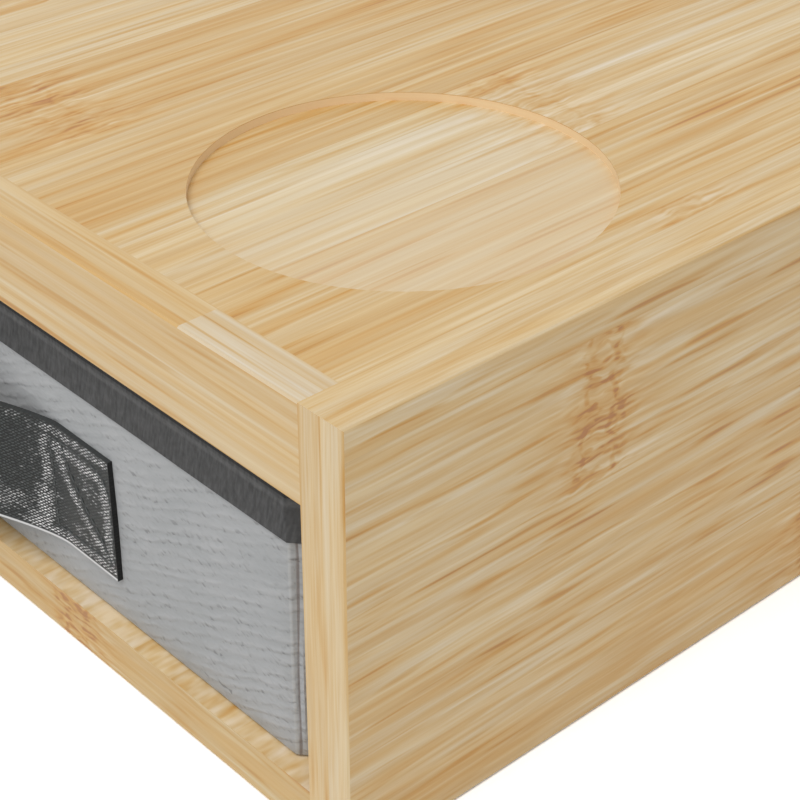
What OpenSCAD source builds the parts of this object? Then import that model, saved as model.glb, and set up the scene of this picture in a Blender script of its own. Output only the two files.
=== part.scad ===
// Clip-on bedside shelf: a bamboo box with an open front, a fabric drawer with a
// webbing pull, and two screw clamps on its left side that hang it on the upright
// board of a bed frame.
// Origin: centre of the box's underside. +X is right, +Y is to the back, +Z is up.

/* [Bamboo box] */
// Width of the box across its front
box_w = 300; // [240:5:360]
// Depth of the box from front to back
box_d = 350; // [300:5:420]
// Height of the box
box_h = 104; // [96:1:130]
// Thickness of the two side panels
side_t = 12; // [11.5:0.5:18]
// Thickness of the top panel
top_t = 12; // [9:0.5:16]
// Thickness of the bottom panel
bottom_t = 12; // [9:0.5:16]
// Thickness of the front rail, front to back
rail_t = 9.6; // [8:0.2:14]
// Height of the front rail
rail_h = 22; // [18:1:30]
// Thickness of the back panel
back_t = 9.6; // [8:0.2:14]
// Chamfer that eases the outer edges of the box
ease = 0.4; // [0.2:0.1:1.5]

/* [Dowels] */
// Diameter of the wooden dowels in the panel joints
dowel_d = 6; // [4:0.5:7]
// Length of a dowel
dowel_l = 24; // [18:1:30]
// Length of a dowel that sits in the side panel
dowel_in_side = 8; // [6:0.5:9]
// Distance of a panel's outer dowels from the nearer end of the box
dowel_inset = 55; // [40:5:80]

/* [Cup recess] */
// Diameter of the round cup recess
cup_d = 90; // [70:1:110]
// Depth of the cup recess
cup_depth = 2; // [1:0.5:4]
// Distance from the right side of the box to the recess
cup_side_margin = 16.6; // [14:0.2:60]
// Distance from the front of the box to the recess
cup_front_margin = 24.7; // [16:0.1:90]

/* [Drawer] */
// Thickness of the drawer's fabric
fabric_t = 0.8; // [0.5:0.1:1.5]
// Thickness of the stiffening boards inside the drawer's walls
wall_board_t = 2.4; // [1.5:0.1:4]
// Thickness of the board on the drawer's floor
base_board_t = 3; // [2:0.5:6]
// Gap between the drawer and each side panel
drawer_side_gap = 3; // [1.5:0.5:8]
// Gap between the drawer's rim and the front rail
drawer_top_gap = 1.2; // [0.5:0.1:5]
// Distance of the drawer's front from the front of the box
drawer_setback = 4.4; // [2:0.2:12]
// Gap between the drawer and the back panel
drawer_back_gap = 6; // [2:1:40]
// Size of the slanting cut at the drawer's upright corners
drawer_corner = 6.6; // [6:0.2:12]
// Height of the binding tape round the rim
binding_h = 14.4; // [8:0.2:24]
// Thickness of the binding tape
binding_t = 0.6; // [0.4:0.1:1.2]

/* [Drawer pull] */
// Width of the webbing strap
strap_w = 31; // [20:1:40]
// Thickness of the webbing strap
strap_t = 1.4; // [1:0.1:2.5]
// Length of each flat sewn end of the strap
strap_tab = 18; // [12:1:30]
// Length of the raised part of the strap
strap_span = 105; // [80:5:140]
// Height of the strap's middle over the drawer's front
strap_rise = 14; // [8:1:25]

/* [Clamp bracket] */
// Distance of each clamp from the nearer end of the box
clamp_inset = 65; // [40:5:80]
// Width of the steel strip
strip_w = 40; // [34:1:50]
// Thickness of the steel strip
strip_t = 3; // [2.8:0.1:5]
// Inside radius of the strip's bends
bend_r = 5; // [3:0.5:8]
// Distance from the top of the box down to the clamp screw
screw_drop = 55; // [48:1:60]
// Thickness of the rubber liner on the inner leg
liner_t = 2; // [1:0.5:4]
// Distance from the edge of the inner leg to the liner
liner_margin = 1.5; // [0.5:0.5:4]
// Reach of the pressed dart in the outer bend
dart_reach = 11; // [8:1:12]
// Width of the pressed dart
dart_w = 8; // [5:1:14]

/* [Bracket screws] */
// Diameter of the screws that hold a bracket to the box
bolt_d = 5; // [4:0.5:6]
// Length of a bracket screw with its head
bolt_l = 12; // [10:0.5:12.5]
// Diameter of a screw's countersunk head
bolt_head_d = 9.6; // [8.5:0.1:11]
// Height of a screw's countersunk head
bolt_head_h = 2.4; // [2:0.1:2.6]
// Distance between the two upper screws of a bracket
bolt_spread = 20; // [16:1:24]
// Distance from the top of the box down to the upper screws
bolt_drop = 20; // [18:1:26]
// Outer diameter of a threaded insert
insert_d = 8; // [7.5:0.1:10]
// Length of a threaded insert
insert_l = 10; // [9.6:0.1:10.6]

/* [Clamp screw] */
// Widest board that the clamp takes
jaw_open = 50; // [40:1:70]
// Thinnest board that the clamp takes
jaw_closed = 5; // [2:1:15]
// Outer diameter of the clamp screw
screw_d = 10; // [9:0.5:12]
// Diameter of the ball on the end of the clamp screw
ball_d = 10; // [9.5:0.1:11]
// Diameter of the neck behind the ball
neck_d = 5.6; // [4:0.2:6]
// Length of the nut's body outside the outer leg
nut_l = 12; // [8:1:16]
// Size of the nut across its flats
nut_flats = 17; // [16:1:20]

/* [Knob] */
// Mean diameter of the lobed knob
knob_d = 40; // [32:1:48]
// Depth of the lobes' wave on the radius
knob_wave = 2.4; // [1:0.2:4]
// Number of lobes
knob_lobes = 6; // [5:1:8]
// Thickness of the knob's head
knob_t = 18; // [14:1:24]
// Length of the knob's hub
hub_l = 6; // [4:1:12]
// Diameter of the knob's hub
hub_d = 20; // [17:1:26]

/* [Pressure pad] */
// Diameter of the steel pressure plate
plate_d = 32; // [28:1:36]
// Thickness of the plate's disc
plate_t = 3; // [2:0.5:4]
// Outer diameter of the plate's ball socket
socket_d = 16; // [14:0.5:20]
// Thickness of the rubber in front of the plate and round it
rubber_t = 3; // [2:0.5:4]

/* [Hidden] */
$fn = 96;

bamboo = "burlywood";
bamboo_edge = "tan";
dowel_wood = "wheat";
grey_fabric = "darkgray";
charcoal = [0.25, 0.25, 0.26];
cardboard = "peru";
zinc = "silver";
brass = "goldenrod";
black_steel = [0.16, 0.16, 0.17];
black_rubber = [0.08, 0.08, 0.08];
black_plastic = [0.12, 0.12, 0.12];

// Clearances: pressed or glued pieces, turning pieces, loose boards, sliding drawer
seat_gap = 0.05;
run_gap = 0.05;
board_gap = 0.1;
slide_gap = 0.3;
// Cuts run past the face that they open by this much
past = 1;

// Box
front_y = -box_d / 2;
back_y = box_d / 2;
left_x = -box_w / 2;
right_x = box_w / 2;
inner_x = right_x - side_t;
top_z = box_h - top_t;
rail_z = box_h - rail_h;
cup_x = right_x - cup_side_margin - cup_d / 2;
cup_y = front_y + cup_front_margin + cup_d / 2;

// Rods in blind holes, dowels or screws, end this far before the hole does
rod_end_gap = 0.5;
// Share of the rail's and the back panel's height between the middle and a dowel
dowel_pair_share = 0.25;

// Drawer
drawer_w = 2 * (inner_x - drawer_side_gap);
drawer_y0 = front_y + drawer_setback;
drawer_y1 = back_y - back_t - drawer_back_gap;
drawer_z = bottom_t + slide_gap;
drawer_top = rail_z - drawer_top_gap;
cover_top = drawer_top - binding_t;
pocket_t = wall_board_t + 2 * board_gap;
wall_t = 2 * fabric_t + pocket_t;
// The pockets end this far from the drawer's corners, just before the slanting cut
pocket_inset = drawer_corner + fabric_t;
floor_z = drawer_z + fabric_t;
// Strap: half way between the binding's lower edge and the drawer's underside
strap_z = (drawer_top - binding_h + drawer_z) / 2;
strap_steps = 30;

// Clamps, along X from the box outwards
front_clamp_y = front_y + clamp_inset;
rear_clamp_y = back_y - clamp_inset;
screw_z = box_h - screw_drop;
ball_r = ball_d / 2;
neck_len = 2;
pad_wall = 1.5;
pad_back_gap = 1;
// The socket's lip starts at this share of the ball's radius behind its centre
lip_at = 0.64 * ball_r;
lip_t = 0.8;
lip_r = sqrt(ball_r * ball_r - lip_at * lip_at) + run_gap;
socket_back = lip_at + lip_t;
plate_front = ball_r + run_gap + pad_wall;
pad_front = plate_front + rubber_t;
inner_leg_x = left_x - strip_t;
liner_x = inner_leg_x - liner_t;
ball_x = liner_x - jaw_open - pad_front;
outer_leg_x = ball_x - socket_back - pad_back_gap;
nut_x = outer_leg_x - strip_t;
hub_stop_gap = 3;
hub_x = nut_x - nut_l - (jaw_open - jaw_closed) - hub_stop_gap;
knob_x = hub_x - hub_l;
// Solid part of the knob in front of its blind bore
knob_bore_wall = 6;
knob_bore = knob_t + hub_l - knob_bore_wall;
// The flange stands out round the hexagon, and the spigot's wall lies round the thread
nut_flange_rim = 4.5;
nut_flange_d = nut_flats + 2 * nut_flange_rim;
nut_flange_t = 2;
spigot_wall = 2;
spigot_d = screw_d + 2 * spigot_wall;
bolt_z = box_h - bolt_drop;
screw_spots = [[0, screw_z], [-bolt_spread / 2, bolt_z], [bolt_spread / 2, bolt_z]];
// Gap round a screw's head in the liner
liner_hole_gap = 0.7;
liner_hole_d = bolt_head_d + 2 * liner_hole_gap;

// Corners of a rectangle, lower left first and round to the left, each with its own chamfer
function eased(x0, y0, x1, y1, cuts) = let (
    corners = [[x0, y0, 1, 1], [x1, y0, -1, 1], [x1, y1, -1, -1], [x0, y1, 1, -1]]
) [
    for (i = [0:3]) let (
        c = corners[i], cut = cuts[i],
        dx = [c[0] + c[2] * cut, c[1]],
        dy = [c[0], c[1] + c[3] * cut]
    ) each cut == 0 ? [[c[0], c[1]]] : i % 2 == 0 ? [dy, dx] : [dx, dy]
];

// Children drawn in X and Z, drawn out along Y from y0 to y1
module along_y(y0, y1) {
    translate([0, y1, 0]) rotate([90, 0, 0]) linear_extrude(y1 - y0) children();
}

// Children drawn in Y and Z, drawn out along X from x0 to x1
module along_x(x0, x1) {
    translate([x0, 0, 0]) rotate([90, 0, 90]) linear_extrude(x1 - x0) children();
}

// Round rod along X from x0 to x1
module rod(d, x0, x1, y = 0, z = 0) {
    translate([x0, y, z]) rotate([0, 90, 0]) cylinder(d = d, h = x1 - x0);
}

// ---- Bamboo box ----

// Places of the dowels in Y and Z: top, bottom, rail and back
rail_mid_y = front_y + rail_t / 2;
back_mid_y = back_y - back_t / 2;
dowel_spots = [
    for (y = [front_y + dowel_inset, 0, back_y - dowel_inset]) each [
        [y, box_h - top_t / 2],
        [y, bottom_t / 2]
    ],
    for (s = [-1, 1]) each [
        [rail_mid_y, box_h - rail_h / 2 + s * dowel_pair_share * rail_h],
        [back_mid_y, (bottom_t + top_z) / 2 + s * dowel_pair_share * (top_z - bottom_t)]
    ]
];

// Dowels at both sides of the box, or their holes when they are grown by a gap
module dowels(side_gap = 0, end_gap = 0) {
    for (s = [-1, 1], p = dowel_spots) {
        x0 = inner_x + dowel_in_side - dowel_l - end_gap;
        x1 = inner_x + dowel_in_side + end_gap;
        mirror([s < 0 ? 1 : 0, 0, 0]) rod(dowel_d + 2 * side_gap, x0, x1, p[0], p[1]);
    }
}

module dowel_holes() {
    dowels(seat_gap, rod_end_gap);
}

// Panel on the right, its outer edges eased; the left one is its mirror image
module side_panel() {
    intersection() {
        along_y(front_y, back_y) polygon(eased(inner_x, 0, right_x, box_h, [0, ease, ease, 0]));
        linear_extrude(box_h) polygon(eased(inner_x, front_y, right_x, back_y, [0, ease, ease, 0]));
    }
}

module right_side_panel() {
    color(bamboo) difference() {
        side_panel();
        dowel_holes();
    }
}

module left_side_panel() {
    color(bamboo) difference() {
        mirror([1, 0, 0]) side_panel();
        dowel_holes();
        for (y = [front_clamp_y, rear_clamp_y], p = screw_spots) translate([0, y + p[0], p[1]])
            rod(insert_d + 2 * seat_gap, left_x - past, left_x + insert_l + seat_gap);
    }
}

module top_panel() {
    color(bamboo) difference() {
        along_x(-inner_x, inner_x)
            polygon(eased(front_y + rail_t, top_z, back_y, box_h, [0, 0, ease, 0]));
        translate([cup_x, cup_y, box_h - cup_depth]) cylinder(d = cup_d, h = cup_depth + past);
        dowel_holes();
    }
}

module bottom_panel() {
    color(bamboo) difference() {
        along_x(-inner_x, inner_x)
            polygon(eased(front_y, 0, back_y, bottom_t, [ease, ease, 0, 0]));
        dowel_holes();
    }
}

module back_panel() {
    color(bamboo) difference() {
        along_x(-inner_x, inner_x)
            translate([back_y - back_t, bottom_t]) square([back_t, top_z - bottom_t]);
        dowel_holes();
    }
}

// The edges round the opening stay square, on the rail and on the bottom panel
module front_rail() {
    color(bamboo_edge) difference() {
        along_x(-inner_x, inner_x)
            polygon(eased(front_y, rail_z, front_y + rail_t, box_h, [0, 0, 0, ease]));
        dowel_holes();
    }
}

module carcass_dowels() {
    color(dowel_wood) dowels();
}

module threaded_inserts() {
    color(brass) for (y = [front_clamp_y, rear_clamp_y], p = screw_spots) difference() {
        rod(insert_d, left_x, left_x + insert_l, y + p[0], p[1]);
        rod(bolt_d + 2 * seat_gap, left_x - past, left_x + insert_l + past, y + p[0], p[1]);
    }
}

// ---- Drawer ----

// Plan of the drawer's outside, grown or shrunk by a distance. The slanting cuts change by
// less, so that the walls stay as thick there.
module drawer_plan(grow = 0) {
    cut = drawer_corner + (2 - sqrt(2)) * grow;
    x = drawer_w / 2 + grow;
    polygon(eased(-x, drawer_y0 - grow, x, drawer_y1 + grow, [cut, cut, cut, cut]));
}

// The long pockets in the front and back walls, or the boards that they hold
module wall_pockets_x(gap, y0) {
    half = drawer_w / 2 - pocket_inset;
    translate([-half + gap, y0 + gap, floor_z])
        cube([2 * (half - gap), pocket_t - 2 * gap, cover_top - floor_z]);
}

// The pockets in the left and right walls, or the boards that they hold
module wall_pockets_y(gap, x0) {
    y0 = drawer_y0 + pocket_inset + gap;
    y1 = drawer_y1 - pocket_inset - gap;
    translate([x0 + gap, y0, floor_z]) cube([pocket_t - 2 * gap, y1 - y0, cover_top - floor_z]);
}

front_pocket_y = drawer_y0 + fabric_t;
back_pocket_y = drawer_y1 - fabric_t - pocket_t;
left_pocket_x = -drawer_w / 2 + fabric_t;
right_pocket_x = drawer_w / 2 - fabric_t - pocket_t;

module drawer_cover() {
    color(grey_fabric) difference() {
        translate([0, 0, drawer_z]) linear_extrude(cover_top - drawer_z) drawer_plan();
        translate([0, 0, floor_z]) linear_extrude(cover_top) drawer_plan(-wall_t);
        for (z = [0, past]) translate([0, 0, z]) {
            wall_pockets_x(0, front_pocket_y);
            wall_pockets_x(0, back_pocket_y);
            wall_pockets_y(0, left_pocket_x);
            wall_pockets_y(0, right_pocket_x);
        }
    }
}

module drawer_binding() {
    color(charcoal) difference() {
        translate([0, 0, drawer_top - binding_h]) linear_extrude(binding_h) difference() {
            drawer_plan(binding_t);
            drawer_plan(-wall_t - binding_t);
        }
        translate([0, 0, drawer_z]) linear_extrude(cover_top - drawer_z) difference() {
            drawer_plan();
            drawer_plan(-wall_t);
        }
    }
}

module drawer_front_board() {
    color(cardboard) wall_pockets_x(board_gap, front_pocket_y);
}

module drawer_back_board() {
    color(cardboard) wall_pockets_x(board_gap, back_pocket_y);
}

module drawer_left_board() {
    color(cardboard) wall_pockets_y(board_gap, left_pocket_x);
}

module drawer_right_board() {
    color(cardboard) wall_pockets_y(board_gap, right_pocket_x);
}

module drawer_base_board() {
    color(grey_fabric) translate([0, 0, floor_z]) linear_extrude(base_board_t)
        drawer_plan(-wall_t - slide_gap);
}

// Height of the strap's inner face over the drawer's front, at a place on the raised part
function strap_lift(u) = strap_rise * pow(sin(180 * min(max(u / strap_span, 0), 1)), 1.5);

// Point of the strap's outline: the outer face stands off square to the inner one
function strap_point(u, off) = let (
    step = 0.1,
    slope = (strap_lift(u + step) - strap_lift(u - step)) / (2 * step),
    len = sqrt(1 + slope * slope)
) [u - strap_span / 2 - off * slope / len, -strap_lift(u) - off / len];

module drawer_handle() {
    us = [for (i = [0:strap_steps]) strap_span * i / strap_steps];
    end = strap_span / 2 + strap_tab;
    outline = concat(
        [[-end, 0]], [for (u = us) strap_point(u, 0)], [[end, 0], [end, -strap_t]],
        [for (i = [strap_steps:-1:0]) strap_point(us[i], strap_t)], [[-end, -strap_t]]
    );
    color(charcoal) translate([0, drawer_y0, strap_z - strap_w / 2])
        linear_extrude(strap_w) polygon(outline);
}

// ---- Clamps ----

// Arch drawn in X and Z: square feet, round upper corners
module arch(x0, x1, z0, z1, r) {
    translate([x0, z0]) square([x1 - x0, z1 - z0 - r]);
    translate([x0 + r, z0]) square([x1 - x0 - 2 * r, z1 - z0]);
    for (x = [x0 + r, x1 - r]) translate([x, z1 - r]) circle(r);
}

// Side view of a leg: a round end about the clamp screw, straight above it
module leg_outline(inset, top) {
    translate([0, screw_z]) circle(d = strip_w - 2 * inset);
    translate([-strip_w / 2 + inset, screw_z]) square([strip_w - 2 * inset, top - screw_z]);
}

// Pressed dart: a web across the inside of the outer bend
module bend_dart() {
    along_y(-dart_w / 2, dart_w / 2) translate([outer_leg_x, box_h - strip_t]) polygon([
        [-seat_gap, seat_gap], [-seat_gap, -dart_reach], [0, -dart_reach],
        [dart_reach, 0], [dart_reach, seat_gap]
    ]);
}

module clamp_bracket(y) {
    low_z = screw_z - strip_w / 2;
    color(black_steel) translate([0, y, 0]) difference() {
        union() {
            intersection() {
                along_y(-strip_w / 2, strip_w / 2) difference() {
                    arch(nut_x, left_x, low_z, box_h, bend_r + strip_t);
                    arch(outer_leg_x, inner_leg_x, low_z - past, box_h - strip_t, bend_r);
                }
                along_x(nut_x, left_x) leg_outline(0, box_h);
            }
            bend_dart();
        }
        rod(spigot_d + 2 * seat_gap, nut_x - past, outer_leg_x + past, 0, screw_z);
        for (p = screw_spots) translate([0, p[0], p[1]]) {
            rod(bolt_d + 2 * slide_gap, inner_leg_x - past, left_x + past);
            translate([inner_leg_x, 0, 0]) rotate([0, 90, 0]) screw_head(seat_gap);
        }
    }
}

// Countersunk head, its flat top at z = 0, or its seat when it is grown by a gap
module screw_head(gap = 0) {
    cylinder(d1 = bolt_head_d + 2 * gap, d2 = bolt_d + 2 * gap, h = bolt_head_h);
    if (gap > 0) translate([0, 0, -past]) cylinder(d = bolt_head_d + 2 * gap, h = past);
}

// The hexagon socket's size is a share of the thread's, and its depth a share of the head's
module bracket_screws() {
    socket_share = 0.6;
    deep_share = 0.8;
    socket_w = socket_share * bolt_d;
    socket_deep = deep_share * bolt_head_h;
    color(zinc) for (y = [front_clamp_y, rear_clamp_y], p = screw_spots)
        translate([inner_leg_x, y + p[0], p[1]]) difference() {
            union() {
                rotate([0, 90, 0]) screw_head();
                rod(bolt_d, bolt_head_h, bolt_l);
            }
            rotate([0, 90, 0]) translate([0, 0, -past])
                cylinder(d = socket_w / cos(30), h = socket_deep + past, $fn = 6);
        }
}

module jaw_liner(y) {
    color(black_rubber) translate([0, y, 0]) difference() {
        along_x(liner_x, inner_leg_x) leg_outline(liner_margin, box_h - strip_t - bend_r);
        for (p = screw_spots) rod(liner_hole_d, liner_x - past, inner_leg_x + past, p[0], p[1]);
    }
}

// Hexagon nut with a flange and a spigot pressed into the outer leg
module clamp_nut(y) {
    color(zinc) translate([0, y, screw_z]) difference() {
        union() {
            rod(spigot_d, nut_x, outer_leg_x);
            rod(nut_flange_d, nut_x - nut_flange_t, nut_x);
            translate([nut_x - nut_l, 0, 0]) rotate([0, 90, 0])
                cylinder(d = nut_flats / cos(30), h = nut_l - nut_flange_t, $fn = 6);
        }
        rod(screw_d + 2 * run_gap, nut_x - nut_l - past, outer_leg_x + past);
    }
}

module clamp_screw(y) {
    shoulder_x = ball_x - ball_r - neck_len / 2;
    tip_chamfer = 1;
    color(zinc) translate([0, y, screw_z]) {
        translate([ball_x, 0, 0]) sphere(ball_r);
        rod(neck_d, shoulder_x, ball_x);
        translate([shoulder_x - tip_chamfer, 0, 0]) rotate([0, 90, 0])
            cylinder(d1 = screw_d, d2 = screw_d - 2 * tip_chamfer, h = tip_chamfer);
        rod(screw_d, hub_x - knob_bore + rod_end_gap, shoulder_x - tip_chamfer);
    }
}

// Lobed outline of the knob: a circle with one wave for each lobe
module knob_outline() {
    steps = 12 * knob_lobes;
    polygon([
        for (i = [0:steps - 1]) let (
            a = 360 * i / steps,
            r = knob_d / 2 + knob_wave * cos(knob_lobes * a)
        ) [r * cos(a), r * sin(a)]
    ]);
}

// Half section of the knob's round envelope: rounded rims and a flat middle
module knob_section() {
    rim = 4;
    r = knob_d / 2 + knob_wave;
    square([r - rim, knob_t]);
    translate([0, rim]) square([r, knob_t - 2 * rim]);
    for (z = [rim, knob_t - rim]) translate([r - rim, z]) intersection() {
        circle(rim);
        translate([-rim / 2, -rim]) square(2 * rim);
    }
}

module knob(y) {
    face_share = 0.6;
    face_recess = 1;
    color(black_plastic) translate([knob_x - knob_t, y, screw_z]) rotate([0, 90, 0]) difference() {
        union() {
            intersection() {
                linear_extrude(knob_t) knob_outline();
                rotate_extrude() knob_section();
            }
            cylinder(d = hub_d, h = knob_t + hub_l);
        }
        translate([0, 0, knob_t + hub_l - knob_bore])
            cylinder(d = screw_d + 2 * seat_gap, h = knob_bore + past);
        translate([0, 0, -past]) cylinder(d = face_share * knob_d, h = face_recess + past);
    }
}

// Steel plate whose socket is closed round the ball, so that the plate can tilt
module pressure_plate(y) {
    color(zinc) translate([ball_x, y, screw_z]) difference() {
        union() {
            rod(socket_d, -socket_back, plate_front);
            rod(plate_d, plate_front - plate_t, plate_front);
        }
        sphere(ball_r + run_gap);
        rod(2 * (ball_r + run_gap), -lip_at, 0);
        rod(2 * lip_r, -socket_back - past, 0);
    }
}

// Rubber cap over the plate's disc, with round grooves in its face
module pad_rubber(y) {
    groove_w = 1.2;
    groove_deep = 0.6;
    groove_step = 4;
    color(black_rubber) translate([ball_x, y, screw_z]) difference() {
        rod(plate_d + 2 * rubber_t, plate_front - plate_t, pad_front);
        rod(plate_d, plate_front - plate_t - past, plate_front);
        for (r = [groove_step:groove_step:plate_d / 2]) difference() {
            rod(2 * r + groove_w, pad_front - groove_deep, pad_front + past);
            rod(2 * r - groove_w, pad_front - groove_deep - past, pad_front + 2 * past);
        }
    }
}

right_side_panel();
left_side_panel();
top_panel();
bottom_panel();
back_panel();
front_rail();
carcass_dowels();
threaded_inserts();
drawer_cover();
drawer_binding();
drawer_handle();
drawer_base_board();
drawer_front_board();
drawer_back_board();
drawer_left_board();
drawer_right_board();
clamp_bracket(front_clamp_y);  // front_bracket
clamp_bracket(rear_clamp_y);  // rear_bracket
bracket_screws();
jaw_liner(front_clamp_y);  // front_jaw_liner
jaw_liner(rear_clamp_y);  // rear_jaw_liner
clamp_nut(front_clamp_y);  // front_clamp_nut
clamp_nut(rear_clamp_y);  // rear_clamp_nut
clamp_screw(front_clamp_y);  // front_clamp_screw
clamp_screw(rear_clamp_y);  // rear_clamp_screw
knob(front_clamp_y);  // front_knob
knob(rear_clamp_y);  // rear_knob
pressure_plate(front_clamp_y);  // front_pressure_plate
pressure_plate(rear_clamp_y);  // rear_pressure_plate
pad_rubber(front_clamp_y);  // front_pad_rubber
pad_rubber(rear_clamp_y);  // rear_pad_rubber
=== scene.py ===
# %% [markdown]
# # Dressing a clip-on bedside shelf
#
# This file takes the exact, plain solids of a bamboo shelf box and gives them the looks of the
# real thing: laminated bamboo with its knots, a fabric drawer with a webbing pull, and two
# black steel clamps. The solids stay where the CAD puts them. Hard parts keep their solid and
# get a better material. Soft parts, and parts with detail that CAD leaves out, are modelled
# again here in the same place.

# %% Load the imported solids
import math
import bmesh
import bpy
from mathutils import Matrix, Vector, noise


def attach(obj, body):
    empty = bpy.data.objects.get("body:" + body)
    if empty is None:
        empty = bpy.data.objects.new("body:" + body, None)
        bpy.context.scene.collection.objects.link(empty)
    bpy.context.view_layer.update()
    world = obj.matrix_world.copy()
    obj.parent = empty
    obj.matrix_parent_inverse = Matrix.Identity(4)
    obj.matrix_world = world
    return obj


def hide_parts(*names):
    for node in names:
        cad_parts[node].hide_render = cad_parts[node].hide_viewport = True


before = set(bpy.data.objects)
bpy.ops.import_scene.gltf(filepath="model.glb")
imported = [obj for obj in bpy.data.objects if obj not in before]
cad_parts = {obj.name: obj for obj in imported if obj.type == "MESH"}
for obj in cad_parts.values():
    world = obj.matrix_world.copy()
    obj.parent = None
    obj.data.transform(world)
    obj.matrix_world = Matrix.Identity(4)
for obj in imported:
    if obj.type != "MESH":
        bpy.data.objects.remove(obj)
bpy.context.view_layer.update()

# %% [markdown]
# ## Small helpers
#
# Every operator acts on what is selected, so each new piece starts with nothing selected. In
# edit mode, faces and edges are picked by a test on their place, because a script has no mouse.
# Sizes are written in millimetres, as on a drawing, and one factor turns them to metres.

# %% Units, selection and picking
MM = 0.001


def start_fresh():
    """Leaves edit mode and deselects everything."""
    if bpy.context.object and bpy.context.object.mode != "OBJECT":
        bpy.ops.object.mode_set(mode="OBJECT")
    bpy.ops.object.select_all(action="DESELECT")


def take(*objects):
    """Selects these objects and no others. The first one is the active one."""
    start_fresh()
    for obj in objects:
        obj.select_set(True)
    bpy.context.view_layer.objects.active = objects[0]


def pick(obj, kind, test):
    """In edit mode, selects the VERT, EDGE or FACE elements for which test is true."""
    bpy.ops.mesh.select_mode(type=kind)
    bpy.ops.mesh.select_all(action="DESELECT")
    mesh = bmesh.from_edit_mesh(obj.data)
    mesh.normal_update()
    for element in {"VERT": mesh.verts, "EDGE": mesh.edges, "FACE": mesh.faces}[kind]:
        if test(element):
            element.select_set(True)
    mesh.select_flush_mode()
    bmesh.update_edit_mesh(obj.data)


def on_all(operator, **settings):
    """In edit mode, runs an operator on the whole mesh."""
    bpy.ops.mesh.select_all(action="SELECT")
    operator(**settings)


def apply_modifier(obj, kind, **settings):
    """Adds one modifier, sets it and applies it."""
    take(obj)
    modifier = obj.modifiers.new(kind.title(), kind)
    for key, value in settings.items():
        setattr(modifier, key, value)
    bpy.ops.object.modifier_apply(modifier=modifier.name)

# %% Moving, copying and joining
def move_vertices(obj, move_of):
    """Moves each vertex by what move_of gives for it. All moves are known before the first."""
    moves = [move_of(vertex) for vertex in obj.data.vertices]
    for vertex, move in zip(obj.data.vertices, moves):
        vertex.co += move


def copy_piece(obj):
    """A copy of the object with its own mesh."""
    twin = obj.copy()
    twin.data = obj.data.copy()
    bpy.context.scene.collection.objects.link(twin)
    return twin


def join(pieces, name):
    """Makes one object of several, with their places in its mesh."""
    take(*pieces)
    bpy.ops.object.transform_apply(location=True, rotation=True, scale=True)
    bpy.ops.object.join()
    joined = bpy.context.object
    joined.name = name
    return joined

# %% [markdown]
# A finished piece sits at the origin with its place in its mesh, so that patterns on object
# coordinates stay put. It rides on the body that carries it.

# %% Finish a piece
def finish_piece(obj, body, material, smooth=35):
    """Puts the piece's place in its mesh and gives it a material and a body."""
    take(obj)
    bpy.ops.object.transform_apply(location=True, rotation=True, scale=True)
    bpy.ops.object.shade_smooth_by_angle(angle=math.radians(smooth))
    obj.data.materials.clear()
    obj.data.materials.append(material)
    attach(obj, body)
    print(obj.name, "rides on", body, "with", len(obj.data.polygons), "faces")

# %% [markdown]
# Colours are written as the sRGB hex values that the eye reads off a picture. Blender mixes
# light in linear values, so one function turns them over. One more adds a shader node: its
# inputs are filled in the order in which they show in the node editor.

# %% Colours and nodes
def linear(code):
    """sRGB hex to linear RGBA."""
    parts = [int(code[i:i + 2], 16) / 255 for i in (0, 2, 4)]
    return [x / 12.92 if x <= 0.04045 else ((x + 0.055) / 1.055) ** 2.4 for x in parts] + [1]


def shown(sockets):
    """The sockets that the node editor shows: many nodes hide some, for other data types."""
    return [s for s in sockets if s.enabled]


def add_node(tree, kind, inputs=(), **settings):
    """Adds a shader node with its settings. An input is a value, a socket, a node, which
    stands for its first output, or None, which leaves it alone."""
    node = tree.nodes.new("ShaderNode" + kind)
    for key, value in settings.items():
        setattr(node, key, value)
    sockets = shown(node.inputs)
    pairs = inputs.items() if isinstance(inputs, dict) else enumerate(inputs)
    for key, value in pairs:
        socket = sockets[key] if isinstance(key, int) else node.inputs[key]
        if isinstance(value, bpy.types.Node):
            value = shown(value.outputs)[0]
        if isinstance(value, bpy.types.NodeSocket):
            tree.links.new(value, socket)
        elif value is not None:
            socket.default_value = value
    return node

# %% Start and end of a material
def new_material(name):
    """A material without nodes, and its tree."""
    material = bpy.data.materials.new(name)
    material.use_nodes = True
    material.node_tree.nodes.clear()
    return material, material.node_tree


def finish_material(tree, colour, roughness, relief, strength, depth, sockets, under=None):
    """Ends a material: a relief that is some mm deep, over another one if there is one, the
    shader with its other sockets, and the output."""
    bump = add_node(tree, "Bump", {"Strength": strength, "Distance": depth * MM,
                                   "Height": relief, "Normal": under})
    shader = add_node(tree, "BsdfPrincipled", {"Base Color": colour, "Roughness": roughness,
                                               "Normal": bump, **sockets})
    add_node(tree, "OutputMaterial", [shader])

# %% Dressing a CAD node
def dress(node_name, material):
    """Gives a CAD node's object a better material."""
    obj = bpy.data.objects[node_name]
    for slot in obj.material_slots:
        slot.material = material
    if not obj.material_slots:
        obj.data.materials.append(material)

# %% [markdown]
# ## Camera
#
# The photograph is taken from the front right, from above, with a long lens. The place, the
# direction and the focal length were solved from the straight edges of the box: three sets of
# parallel edges fix the lens, and the box's known size fixes the distance.

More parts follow.
